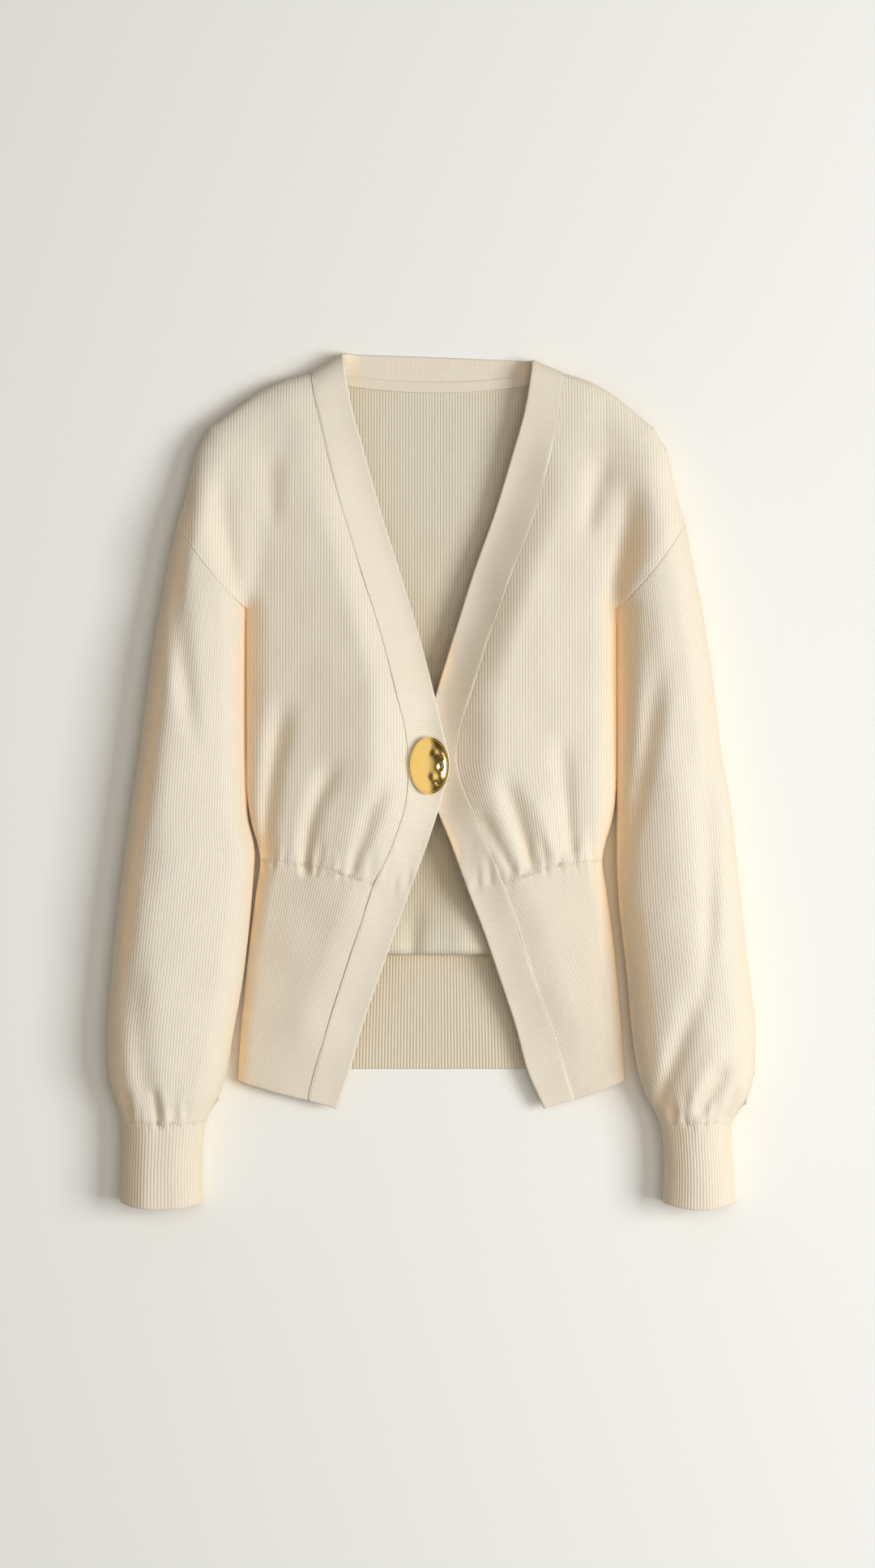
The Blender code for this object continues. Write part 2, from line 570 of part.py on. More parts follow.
def neckband_grid(t, u):
    """Plan of the back neckband: t along it from the wearer's right, u from its seam to its free edge."""
    ends = {}
    for side in (RIGHT, LEFT):
        top = NECK_POINT_Y + band_slant[side](NECK_POINT_Y)
        ends[side] = (band_seam[side](NECK_POINT_Y), band_free[side](top), top)
    seam_x = mix(ends[RIGHT][0], ends[LEFT][0], t)
    free_x = mix(ends[RIGHT][1], ends[LEFT][1], t)
    free_y = mix(ends[RIGHT][2], ends[LEFT][2], t) - (ends[LEFT][2] + 3.0 - NECK_FREE_Y) * np.sin(np.pi * t)
    seam_y = neck_seam(seam_x)
    return mix(seam_x, free_x, u), mix(seam_y, free_y, u)


def add_neckband(band_knit):
    t = np.array((0, 0.012, 0.04, 0.08, 0.13, 0.2, 0.35, 0.5, 0.65, 0.8, 0.87, 0.92, 0.96, 0.988, 1))
    x, y = neckband_grid(t[:, None], np.array((0.0, 0.5, 1.0))[None, :])
    y[:, 0] += NECK_GAP * (1 + 3 * (2 * t - 1) ** 4)
    outer, inner = shell(under_surface, x, y, RIB_WALL)
    for grid in (outer, inner):
        grid[(0, -1), :, 2] -= SEAM_GAP / 2
    return add_wall("neckband_back", outer, inner, band_knit)


def add_tape(band_knit):
    """Narrow tape inside the back neck, over the seam of the neckband."""
    x = NECK_MIDDLE_X + TAPE_REACH * np.sin(np.linspace(-np.pi / 2, np.pi / 2, 15))[:, None] + np.zeros((1, 2))
    y = neck_seam(x) + TAPE_HALF_WIDTH * np.array((-1.0, 1.0))[None, :]
    outer, inner = shell(under_surface, x, y, TAPE_WALL, -RIB_WALL - TAPE_GAP)
    return add_wall("neck_tape", outer, inner, band_knit)


def band_height(side, x, y):
    """Height of the outer face of a front band."""
    points, normals = top_surface(x, y, lifted=side == RIGHT)
    return (points + normals * BAND_PROUD)[..., 2]


Ring = namedtuple("Ring", "half_width half_height z")


def add_button(gold):
    """Oval domed button, with the shank that goes through the slot down to the left band."""
    angle = np.linspace(0, 2 * np.pi, 32, endpoint=False)
    reach_x = BUTTON_X + np.outer((0, 0.5, 1), BUTTON_HALF_WIDTH * np.cos(angle))
    reach_y = BUTTON_Y + np.outer((0, 0.5, 1), BUTTON_HALF_HEIGHT * np.sin(angle))
    base = band_height(RIGHT, reach_x, reach_y).max() + REST_GAP
    foot = band_height(LEFT, BUTTON_X + SHANK_RADIUS * np.cos(angle), BUTTON_Y + SHANK_RADIUS * np.sin(angle))
    foot = foot.max() + SHANK_CLEAR
    rings = [Ring(SHANK_RADIUS, SHANK_RADIUS, foot), Ring(SHANK_RADIUS, SHANK_RADIUS, base)]
    for part, height in ((0.94, 0.0), (1.0, 0.9), (0.99, 2.0), (0.93, 2.6), (0.86, 3.8), (0.72, 5.3),
                         (0.52, 6.4), (0.28, 7.1)):
        rings.append(Ring(part * BUTTON_HALF_WIDTH, part * BUTTON_HALF_HEIGHT, base + height))
    vertices = [(BUTTON_X + ring.half_width * math.cos(a), BUTTON_Y + ring.half_height * math.sin(a), ring.z)
                for ring in rings for a in angle]
    count = len(angle)
    faces = [(r * count + c, r * count + (c + 1) % count, (r + 1) * count + (c + 1) % count,
              (r + 1) * count + c) for r in range(len(rings) - 1) for c in range(count)]
    faces.append(tuple(range(count)))
    faces.append(tuple((len(rings) - 1) * count + c for c in range(count)))
    return add_object("button", vertices, faces, gold)


def cut_slot(band):
    """Buttonhole slot through the right band, around the shank."""
    middle = band_height(RIGHT, np.array([BUTTON_X]), np.array([BUTTON_Y]))[0]
    radius, straight = SLOT_WIDTH / 2, (SLOT_LENGTH - SLOT_WIDTH) / 2
    turn = np.linspace(0, np.pi, 7)
    loop = [(BUTTON_X + straight + radius * math.sin(a), BUTTON_Y + radius * math.cos(a)) for a in turn]
    loop += [(BUTTON_X - straight - radius * math.sin(a), BUTTON_Y - radius * math.cos(a)) for a in turn]
    count = len(loop)
    vertices = [(x, y, middle + z) for z in (-8.0, 4.0) for x, y in loop]
    faces = [(i, (i + 1) % count, count + (i + 1) % count, count + i) for i in range(count)]
    faces += [tuple(range(count)), tuple(range(count, 2 * count))]
    cutter = add_object("slot_cutter", vertices, faces, band.data.materials[0])
    cutter.hide_render = True
    cutter.display_type = "WIRE"
    slot = band.modifiers.new("Slot", "BOOLEAN")
    slot.operation = "DIFFERENCE"
    slot.solver = "EXACT"
    slot.object = cutter


def build():
    for old in list(bpy.data.objects):
        bpy.data.objects.remove(old, do_unlink=True)
    body_knit = make_material("body_knit", (0.80, 0.74, 0.61), 0.92)
    rib_knit = make_material("rib_knit", (0.78, 0.72, 0.58), 0.92)
    band_knit = make_material("band_knit", (0.82, 0.76, 0.63), 0.88)
    gold = make_material("hammered_gold", (0.83, 0.62, 0.28), 0.25, metallic=1.0)
    for side, word in ((RIGHT, "right"), (LEFT, "left")):
        add_front(side, "front_" + word, BODY_ROWS, FRONT_ROWS, BODY_WALL, body_knit)
        add_front(side, "waistband_front_" + word, FLAP_ROWS, WAIST_ROWS, RIB_WALL, rib_knit)
        band = add_band(side, "band_" + word, band_knit)
        if side == RIGHT:
            cut_slot(band)
        add_sleeves(side, word, body_knit, rib_knit)
    add_back(body_knit)
    add_back_waistband(rib_knit)
    add_neckband(band_knit)
    add_tape(band_knit)
    add_button(gold)


build()
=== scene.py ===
"""Looks of a one-button V-neck cardigan in fine rib knit, laid on its back with its fronts crossing.

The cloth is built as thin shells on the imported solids, with the same tables of sizes. Tables and
lengths in the cloth functions are millimetres, x counted outwards from the centre line.
"""
import math
from collections import namedtuple

import bmesh
import bpy
import numpy as np
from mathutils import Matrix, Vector


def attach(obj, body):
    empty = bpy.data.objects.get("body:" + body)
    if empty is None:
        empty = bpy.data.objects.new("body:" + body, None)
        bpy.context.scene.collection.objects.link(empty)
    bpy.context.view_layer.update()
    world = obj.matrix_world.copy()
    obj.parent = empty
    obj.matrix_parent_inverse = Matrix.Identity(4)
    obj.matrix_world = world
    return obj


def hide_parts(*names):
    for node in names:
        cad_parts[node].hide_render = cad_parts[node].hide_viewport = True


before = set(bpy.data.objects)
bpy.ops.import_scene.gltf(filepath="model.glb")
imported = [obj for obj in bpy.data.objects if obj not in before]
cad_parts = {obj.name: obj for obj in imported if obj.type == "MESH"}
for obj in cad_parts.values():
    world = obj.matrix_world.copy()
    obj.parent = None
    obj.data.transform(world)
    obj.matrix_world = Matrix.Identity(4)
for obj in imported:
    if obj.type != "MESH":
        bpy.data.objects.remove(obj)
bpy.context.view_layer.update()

MM = 0.001
RIGHT, LEFT = -1, 1            # the wearer's sides, as signs of x
WORD = {RIGHT: "right", LEFT: "left"}

# ---------------------------------------------------------------- camera
CAMERA_HEIGHT = 3.2
CAMERA_AIM = (0.0051, -0.0037)
FRAMED_LENGTH = 1.3165         # what the long side of the frame shows at the cloth's height
CLOTH_HEIGHT = 0.03


def new_object(name, data):
    made = bpy.data.objects.new(name, data)
    bpy.context.scene.collection.objects.link(made)
    return made


def add_camera():
    data = bpy.data.cameras.new("camera")
    data.sensor_width = 36.0
    data.lens = data.sensor_width * (CAMERA_HEIGHT - CLOTH_HEIGHT) / FRAMED_LENGTH
    data.clip_end = 20.0
    camera = new_object("camera", data)
    camera.location = (*CAMERA_AIM, CAMERA_HEIGHT)
    bpy.context.scene.camera = camera


# ---------------------------------------------------------------- nodes
def feed(tree, node, inputs):
    """Fills a node's inputs: an output of another node is linked, anything else is set."""
    for name, value in inputs.items():
        if isinstance(value, bpy.types.NodeSocket):
            tree.links.new(value, node.inputs[name])
        else:
            node.inputs[name].default_value = value


def add_node(tree, kind, inputs=None, **settings):
    node = tree.nodes.new(kind)
    for name, value in settings.items():
        setattr(node, name, value)
    feed(tree, node, inputs or {})
    return node


def math_node(tree, operation, *values):
    return add_node(tree, "ShaderNodeMath", dict(enumerate(values)), operation=operation).outputs[0]


def ramp(tree, value, low, high, start=0.0, end=1.0):
    """Goes from start to end as a value goes from low to high."""
    return add_node(tree, "ShaderNodeMapRange", {"Value": value, "From Min": low, "From Max": high,
                                                 "To Min": start, "To Max": end}).outputs["Result"]


def blend(tree, share, first, second, **settings):
    """Mixes two colours by a share."""
    return add_node(tree, "ShaderNodeMix", {0: share, 6: first, 7: second}, data_type="RGBA",
                    **settings).outputs[2]


def noise(tree, vector, scale, detail=2.0):
    return add_node(tree, "ShaderNodeTexNoise", {
        "Vector": vector, "Scale": scale, "Detail": detail}).outputs["Fac"]


def object_place(tree):
    return add_node(tree, "ShaderNodeTexCoord").outputs["Object"]


def shelter_value(tree):
    return add_node(tree, "ShaderNodeAttribute", attribute_name="shelter").outputs["Fac"]


def new_group(name, kind, inputs, outputs):
    """A node group with its sockets made, and what its input node gives."""
    group = bpy.data.node_groups.new(name, kind)
    for way, sockets in (("INPUT", inputs), ("OUTPUT", outputs)):
        for socket, holds in sockets.items():
            group.interface.new_socket(socket, in_out=way, socket_type="NodeSocket" + holds)
    return group, group.nodes.new("NodeGroupInput").outputs


def new_material(name):
    material = bpy.data.materials.new(name)
    material.use_nodes = True
    return material, material.node_tree, material.node_tree.nodes["Principled BSDF"]


# ---------------------------------------------------------------- light and table
WARM_WHITE = (1.0, 0.94, 0.89)
COOL_WHITE = (0.985, 0.985, 0.975)
ROOM_LIGHT = 0.14
MIRRORED_WALL = 0.95           # brightness of what shiny metal mirrors, on the left and on the right
MIRRORED_DARK = 0.06
MIRRORED_TURN = (-0.05, 0.30)  # where it starts to fall and where it ends, across from left to right


def add_softbox(name, place, size, watts, colour, mirrored=True):
    """A square area light at a place, facing the middle of the cardigan."""
    data = bpy.data.lights.new(name, "AREA")
    data.size = size
    data.energy = watts
    data.color = colour
    lamp = new_object(name, data)
    lamp.location = place
    lamp.visible_glossy = mirrored
    lamp.rotation_euler = (-Vector(place)).to_track_quat("-Z", "Y").to_euler()


def add_surroundings():
    """Even room light, a window on the right and a soft light overhead."""
    scene = bpy.context.scene
    scene.view_settings.view_transform = "Standard"
    scene.world = bpy.data.worlds.new("studio")
    scene.world.use_nodes = True
    tree = scene.world.node_tree
    room = tree.nodes["Background"]
    feed(tree, room, {"Color": (*WARM_WHITE, 1.0), "Strength": ROOM_LIGHT})
    direction = add_node(tree, "ShaderNodeTexCoord").outputs["Generated"]
    across = add_node(tree, "ShaderNodeSeparateXYZ", {0: direction}).outputs[0]
    brightness = ramp(tree, across, *MIRRORED_TURN, MIRRORED_WALL, MIRRORED_DARK)
    mirrored = add_node(tree, "ShaderNodeBackground", {
        "Color": (1.0, 1.0, 1.0, 1.0), "Strength": brightness})
    glossy = add_node(tree, "ShaderNodeLightPath").outputs["Is Glossy Ray"]
    seen = add_node(tree, "ShaderNodeMixShader", {"Fac": glossy, 1: room.outputs[0], 2: mirrored.outputs[0]})
    feed(tree, tree.nodes["World Output"], {"Surface": seen.outputs[0]})
    add_softbox("key", place=(2.98, -0.19, 2.68), size=1.8, watts=131.0, colour=COOL_WHITE)
    add_softbox("overhead", place=(0.4, 0.0, 3.5), size=2.5, watts=50.0, colour=WARM_WHITE, mirrored=False)


TABLE_REACH = 6000.0
TABLE_BELOW = -0.2
TABLE_STEP = 4.0
TABLE_FINE = (336.0, 426.0)                    # half sizes of the fine mesh under the cardigan
TABLE_COLOUR = (0.83, 0.845, 0.82, 1.0)
TABLE_PAINTED_SHADE = (0.83, 0.70, 0.50, 1.0)     # painted warm shade and bounce light, where cloth stands beside the table
TABLE_PAINTED_SHADE_GAIN = 1.5                               # how fast the painted shade takes over


def quads(rows, columns=None):
    """The four-sided faces of a grid, given as its point numbers or as its size."""
    index = rows if columns is None else np.arange(rows * columns).reshape(rows, columns)
    corners = (index[:-1, :-1], index[:-1, 1:], index[1:, 1:], index[1:, :-1])
    return np.stack(corners, axis=-1).reshape(-1, 4)


def add_table():
    """The plain table, with a fine mesh under the cardigan for the painted warm shade near the cloth."""
    x, y = (np.concatenate(([-TABLE_REACH], np.arange(-half, half + 1, TABLE_STEP), [TABLE_REACH]))
            for half in TABLE_FINE)
    points = np.stack(np.meshgrid(x, y, TABLE_BELOW), axis=-1).reshape(-1, 3) * MM
    mesh = bpy.data.meshes.new("table_top")
    mesh.from_pydata(points.tolist(), [], quads(len(y), len(x)).tolist())
    table_top = new_object("table_top", mesh)
    material, tree, shader = new_material("pale_table")
    # the shelter map paints warm shade on the table beside the cloth
    near = add_node(tree, "ShaderNodeMath", {0: shelter_value(tree), 1: TABLE_PAINTED_SHADE_GAIN}, operation="MULTIPLY",
                    use_clamp=True)
    colour = blend(tree, near.outputs[0], TABLE_COLOUR, TABLE_PAINTED_SHADE)
    feed(tree, shader, {"Base Color": colour, "Roughness": 0.85, "Specular IOR Level": 0.1})
    mesh.materials.append(material)
    return table_top


# ---------------------------------------------------------------- sizes shared with the solids
BODY_WALL = 2.0
RIB_WALL = 2.6
BAND_WALL = 3.4
BAND_PROUD = 0.9
BAND_WIDTH = 30.0
TAPE_WALL = 1.2
ARMPIT_Y = 143.0
SHOULDER_DROP_Y = 215.0
SHOULDER_TIP_Y = 296.0
NECK_POINT_Y = 343.0
CUFF_SEAM_Y = -288.0
CUFF_END_Y = -356.5
CUFF_BOW = 4.0
BACK_HEM_Y = -245.0
BACK_ROLL = 16.0
BLOUSE_END_Y = -147.0
BLOUSE_SIDE_Y = -67.0
WAISTBAND_UNDERLAP = 26.0
NECK_MIDDLE_X = 4.5
NECK_SEAM_Y = 332.0
NECK_FREE_Y = 357.5
TAPE_HALF_WIDTH = 4.6
TAPE_REACH = 80.0
TAPE_GAP = 0.3
TAPE_ROUND = 0.5
BUTTON_X = -1.7
BUTTON_Y = 11.6
BUTTON_HALF_WIDTH = 16.5
BUTTON_HALF_HEIGHT = 24.0
OVERLAP_LIFT = 6.2
OVERLAP_Y = 21.0
OVERLAP_SPREAD_X = 80.0
OVERLAP_SPREAD_Y = 95.0


def table(columns, *rows):
    """Rows with named columns."""
    row_type = namedtuple("Row", columns)
    return [row_type(*row) for row in rows]


BODY_SIDE = table(
    "y half",
    (-255, 164), (-216, 161.5), (-189, 159), (-148, 155), (-120, 151.5),
    (-94, 148), (-68, 144.5), (-53, 147), (-40, 151), (-22, 154.5),
    (0, 156), (143, 156.3))

SLEEVE_EDGES = table(
    "y inner_right outer_right inner_left outer_left",
    (-360, 193, 262, 195, 256), (-330, 194, 261, 196.5, 254),
    (-300, 192.5, 260, 195, 252.5), (-288, 190.5, 261, 192.5, 253),
    (-280, 187, 262, 189, 258), (-268, 180, 267, 182, 266),
    (-243, 172.5, 272.5, 174, 272), (-216, 168, 272.8, 170, 272.8),
    (-161, 158.5, 269, 165, 267), (-93, 151.5, 262, 158, 259.5),
    (-62, 149.5, 258, 157, 256), (-28, 155.5, 253.5, 157, 252.5),
    (29, 157, 245, 157.2, 243), (83, 157, 238, 157.2, 237),
    (124, 157, 232, 157.2, 231), (143, 156.7, 228.5, 156.7, 228),
    (178, 156.7, 222, 156.7, 221), (215, 156.7, 214, 156.7, 214))
SLEEVE_PRESS = 0.6             # how far an inner sleeve edge is pressed in against the body's side

SHOULDER_DROP = table("y edge", (215, 214), (233, 208), (255, 203), (277, 198), (296, 188),
                      (312, 186))

BANDS = {
    RIGHT: table(
        "y free seam",
        (-280, -80.5, -106), (-243, -68, -97), (-209, -58.5, -87), (-168, -44.5, -74),
        (-127, -30, -60.5), (-88, -16, -47.5), (-53, -3, -31.5), (-15, 9, -20.5),
        (12, 15.3, -18.5), (40, 10, -21.5), (70, 3, -28.5), (124, -11, -42.5),
        (178, -27.5, -59.5), (226, -42.5, -74), (274, -56, -87), (314, -67, -96),
        (344, -72.5, -101), (361, -74.5, -103)),
    LEFT: table(
        "y free seam",
        (-280, 96, 123), (-243, 80, 111.5), (-209, 71, 101), (-168, 57.5, 86.5),
        (-127, 43.5, 73.5), (-88, 28.5, 60.5), (-53, 16, 46), (-27, 5, 35),
        (0, -8, 24), (18, -13, 20.5), (40, -7, 23), (70, 3, 32.5),
        (124, 19.5, 49.5), (178, 36.5, 69), (226, 53.5, 87.5), (274, 68, 100),
        (314, 79, 108.5), (342, 83.5, 110.5), (355, 85, 111)),
}

BODY_ROWS = table(             # heights of a front's edges at its side and at the band, and how they bow
    "y seam bow",
    (-67, -88, 4), (-10, -20, 0), (143, 161, 0), (215, 247, 0), (251, 290, 1),
    (296, 343, 8.5))
FLAP_ROWS = table("y seam bow", (-254.5, -271, -1), (-165, -180, 0), (-67, -88, 4))
BAND_SLANT = {
    RIGHT: table("y rise", (-271, -7), (-235, 0), (296, 0), (343, 17)),
    LEFT: table("y rise", (-271, -7), (-235, 0), (306, 0), (343, 11)),
}

TORSO_LOFT = table(            # bed of the opening, crowns beside it, their drop, side seam, rounding
    "y bed crown_right crown_left drop_right drop_left edge reach",
    (-280, 18, 21, 21, 8, 9, 5.5, 9), (-250, 21, 26, 26, 13, 14, 6, 10),
    (-210, 23, 34, 33, 18, 19, 7.5, 12), (-150, 28, 40, 39, 21, 22, 9.5, 13),
    (-90, 30, 44, 42, 20, 19, 12, 15), (-70, 29, 46, 43, 19, 17, 13, 16),
    (-50, 28, 47, 44, 18, 15, 15, 18), (-25, 26, 48, 45, 17, 13, 16, 21),
    (20, 24, 48, 44, 17, 11, 16, 22), (80, 22, 47, 43, 16, 10, 16, 22),
    (143, 20, 45, 41, 15, 10, 16, 23), (215, 20, 40, 37, 13, 9, 16, 24),
    (255, 22, 36, 34, 10, 7, 16, 23), (300, 24, 31, 30, 8, 5, 14, 21),
    (344, 24, 26, 26, 3, 3, 11, 18), (361, 22, 24, 24, 2, 2, 10, 17))
FALL_POWER = 1.3               # how the cloth falls from its crowns to its sides
BED_SPREAD = 56.0              # distance from the free edges over which the body rises to its crowns
SLEEVE_LOFT = table(           # the same for a sleeve, with its inner and its outer edge
    "y crown drop_in drop_out edge_in edge_out reach_in reach_out",
    (-360, 42, 4, 4, 19, 19, 27, 27), (-290, 42, 5, 5, 19, 19, 27, 27),
    (-268, 45, 9, 7, 18, 19, 26, 26), (-235, 49, 14, 10, 16, 20, 23, 24),
    (-160, 51, 18, 12, 15, 21, 21, 24), (-60, 50, 19, 12, 14, 21, 20, 24),
    (40, 50, 19, 12, 14, 21, 20, 23), (143, 48, 15, 10, 15, 21, 22, 23),
    (215, 44, 8, 7, 17, 20, 26, 24), (255, 38, 6, 5, 17, 19, 28, 28),
    (300, 29.5, 4, 4, 15, 16, 26, 26))
SLEEVE_FALL_POWER = 1.7
SLEEVE_PEAK = {RIGHT: 0.68, LEFT: 0.5}     # share of a sleeve's width, from inside, where it is highest

# ---------------------------------------------------------------- folds
FOLD_COLUMNS = "side x0 y0 x1 y1 bow width depth hold"
FOLDS = table(                 # from a start to an end; hold is the share of its depth kept at the end
    FOLD_COLUMNS,
    (RIGHT, 178, 272, 161, 146, -4, 9, -6, 0.3),     # valleys where the armholes pull in
    (RIGHT, 136, 285, 133, 205, 0, 8, -3, 0.0),
    (LEFT, 166, 260, 151, 148, -4, 9, -6, 0.4),
    (LEFT, 145, 280, 129, 200, 0, 8, -4, 0.0),
    (RIGHT, 119, 80, 140, -61, -4, 8, -6.5, 1.0),    # gathers above the waist seam
    (RIGHT, 71, 26, 106, -74, -9, 7, -4.6, 1.0),
    (RIGHT, 34, 15, 67, -76, 0, 7, -3.8, 1.0),
    (LEFT, 36, -20, 67, -75, 0, 5, -2.4, 1.0),
    (LEFT, 56, 12, 84, -72, -1, 7, -5.2, 1.0),
    (LEFT, 84, -5, 102, -62, 0, 7, 2.4, 1.0),
    (LEFT, 107, 46, 117, -58, 0, 7, -3.8, 1.0),
    (RIGHT, 217, 206, 195, 15, -4, 9, -5, 0.0),      # sleeves
    (RIGHT, 246, -130, 236, -276, -6, 11, -3, 1.0),
    (LEFT, 195, 118, 163, -66, -1, 8, -5, 0.0),
    (LEFT, 226, 44, 227, -180, -7, 8, -4, 0.3),
    (LEFT, 228, -165, 189, -274, 0, 8, -4.5, 1.0),
    (LEFT, 249, -236, 226, -276, 0, 6, -4, 1.0),
    (LEFT, 250, -205, 212, -276, 0, 9, 3, 1.0))
PUCKERS = table(               # short tucks where the full cloth is linked to a narrow rib
    FOLD_COLUMNS,
    (RIGHT, 233, -254, 230, -288, 1, 3.4, -2.2, 1.0), (RIGHT, 227, -254, 223, -288, 1, 4, 1.1, 1.0),
    (RIGHT, 259, -258, 253, -286, 0, 3.6, -3.1, 1.0), (RIGHT, 205, -266, 204, -288, 0, 3, -1.2, 1.0),
    (RIGHT, 215, -270, 214, -288, 0, 3, -0.9, 1.0),
    (LEFT, 257, -256, 246, -286, 0, 3.6, -3.1, 1.0), (LEFT, 238, -262, 235, -288, -1, 3, -1.5, 1.0),
    (LEFT, 213, -258, 213, -288, 1, 3.2, -1.7, 1.0), (LEFT, 202, -270, 203, -288, 0, 3, -1.1, 1.0),
    (RIGHT, 130, -44, 133, -73, 1, 3, -1.1, 1.0), (RIGHT, 92, -46, 97, -79, 1, 3, -1.0, 1.0),
    (RIGHT, 50, -56, 54, -85, 1, 3, -1.1, 1.0), (RIGHT, 80, -58, 80, -82, 0, 3, 0.7, 1.0),
    (LEFT, 134, -40, 136, -70, 0, 3, -1.2, 1.0), (LEFT, 94, -48, 96, -76, 0, 3, -1.0, 1.0),
    (LEFT, 46, -58, 50, -87, 0, 3, -1.1, 1.0), (LEFT, 124, -52, 126, -73, 0, 3, 0.7, 1.0))
FOLD_RAMP = 0.35               # share of a fold's length over which it deepens or fades
FOLD_TAPER = (1.5, 0.75)       # its width at the start and at the end, to its width in the table


def curve(rows, column):
    """A smooth curve without overshoot through one column of a table, against its y."""
    pairs = sorted((row.y, getattr(row, column)) for row in rows)
    at, value = np.array(pairs, dtype=float).T
    step = np.diff(at)
    secant = np.diff(value) / step
    slope = np.concatenate(([secant[0]], np.zeros(len(secant) - 1), [secant[-1]]))
    product = secant[:-1] * secant[1:]
    same = product > 0
    total = np.where(same, secant[:-1] + secant[1:], 1.0)
    slope[1:-1] = np.where(same, 2 * product / total, 0.0)

    def read(where):
        where = np.clip(np.asarray(where, dtype=float), at[0], at[-1])
        i = np.clip(np.searchsorted(at, where) - 1, 0, len(step) - 1)
        t = (where - at[i]) / step[i]
        rise = value[i] * (1 + 2 * t) * (1 - t) ** 2 + value[i + 1] * t * t * (3 - 2 * t)
        return rise + step[i] * (slope[i] * t * (1 - t) ** 2 + slope[i + 1] * t * t * (t - 1))

    return read


def mix(a, b, t):
    return a + (b - a) * t


def ease(t):
    """Smooth step from 0 to 1."""
    t = np.clip(t, 0.0, 1.0)
    return t * t * (3 - 2 * t)


def arc(t):
    """Height of a quarter circle, from 0 at its edge to 1."""
    t = np.clip(t, 0.0, 1.0)
    return np.sqrt(t * (2 - t))


def curves(rows):
    return {name: curve(rows, name) for name in rows[0]._fields[1:]}


def pressed(line):
    """An inner sleeve edge that lies against the body's side."""
    return lambda y: line(y) - SLEEVE_PRESS


body_side = curve(BODY_SIDE, "half")
shoulder_drop = curve(SHOULDER_DROP, "edge")
sleeve_edges = curves(SLEEVE_EDGES)
sleeve_inner = {side: pressed(sleeve_edges["inner_" + word]) for side, word in WORD.items()}
sleeve_outer = {side: sleeve_edges["outer_" + word] for side, word in WORD.items()}
band_free = {side: curve(rows, "free") for side, rows in BANDS.items()}
band_seam = {side: curve(rows, "seam") for side, rows in BANDS.items()}
band_slant = {side: curve(rows, "rise") for side, rows in BAND_SLANT.items()}
torso_loft, sleeve_loft = curves(TORSO_LOFT), curves(SLEEVE_LOFT)


def armhole_x(side, y):
    """The armhole seam, which runs down and in from the shoulder fold to the armpit."""
    down = (SHOULDER_DROP_Y - y) / (SHOULDER_DROP_Y - ARMPIT_Y)
    return mix(sleeve_outer[side](y), sleeve_inner[side](y), down)


def body_edge(side, y):
    """Outer edge of the body: its side, then the armhole, then the shoulder fold."""
    upper = np.where(y < SHOULDER_DROP_Y, armhole_x(side, y), shoulder_drop(y))
    return np.where(y <= ARMPIT_Y, body_side(y), upper)


def front_plan(side, rows, side_heights, across):
    """Plan of a front or flap: rows from the outer edge (0) to the band seam (1)."""
    side_y = np.array(side_heights, dtype=float)[:, None]
    u = np.array(across, dtype=float)[None, :]
    y = mix(side_y, curve(rows, "seam")(side_y), u) + curve(rows, "bow")(side_y) * np.sin(np.pi * u)
    x = mix(side * body_edge(side, y), band_seam[side](y), u)
    return x, y


def outline(side):
    """Lines in plan that the cloth rounds away at, as starts and ends of short stretches."""
    arm_y = np.linspace(-360, SHOULDER_DROP_Y, 70)
    drop_y = np.linspace(SHOULDER_DROP_Y, SHOULDER_TIP_Y, 12)
    top_x, top_y = front_plan(side, BODY_ROWS, (SHOULDER_TIP_Y,), np.linspace(0, 1, 12))
    neck_u = np.linspace(0, 1, 4)
    neck_y = NECK_POINT_Y + band_slant[side](NECK_POINT_Y) * neck_u
    neck_x = side * mix(band_seam[side](neck_y), band_free[side](neck_y), neck_u)
    outer = np.concatenate((
        np.column_stack((sleeve_outer[side](arm_y), arm_y)),
        np.column_stack((shoulder_drop(drop_y), drop_y))[1:],
        np.column_stack((side * top_x[0], top_y[0]))[1:],
        np.column_stack((neck_x, neck_y))[1:]))
    side_y = np.linspace(-300, ARMPIT_Y, 60)
    torso = np.column_stack((body_side(side_y), side_y))
    inner_y = np.linspace(ARMPIT_Y, -360, 60)
    inner = np.column_stack((sleeve_inner[side](inner_y), inner_y))
    lines = (outer, torso, inner)
    return np.concatenate([line[:-1] for line in lines]), np.concatenate([line[1:] for line in lines])


OUTLINES = {side: outline(side) for side in (RIGHT, LEFT)}
CHUNK = 6000


def inset(x, y):
    """Distance in from the nearest outline, and the direction in plan that leads away from it."""
    flat_x, flat_y = np.ravel(x), np.ravel(y)
    depth = np.zeros_like(flat_x)
    away = np.zeros((len(flat_x), 2))
    for side in (RIGHT, LEFT):
        on_side = np.flatnonzero((flat_x < 0) == (side == RIGHT))
        start, end = OUTLINES[side]
        run = end - start
        for first in range(0, len(on_side), CHUNK):
            chosen = on_side[first:first + CHUNK]
            points = np.column_stack((side * flat_x[chosen], flat_y[chosen]))
            from_start = points[:, None, :] - start[None]
            t = np.clip((from_start * run).sum(2) / (run * run).sum(1), 0, 1)
            offset = from_start - t[:, :, None] * run[None]
            distance = np.sqrt((offset ** 2).sum(2))
            nearest = distance.argmin(1)
            index = np.arange(len(chosen))
            depth[chosen] = distance[index, nearest]
            direction = offset[index, nearest]
            inward = np.column_stack((-run[nearest, 1], run[nearest, 0]))
            inward /= np.linalg.norm(inward, axis=1)[:, None]
            near = depth[chosen] < 0.3
            direction = np.where(near[:, None], inward, direction / np.maximum(depth[chosen], 1e-6)[:, None])
            away[chosen] = direction * (side, 1)
    return depth.reshape(x.shape), away[:, 0].reshape(x.shape), away[:, 1].reshape(x.shape)


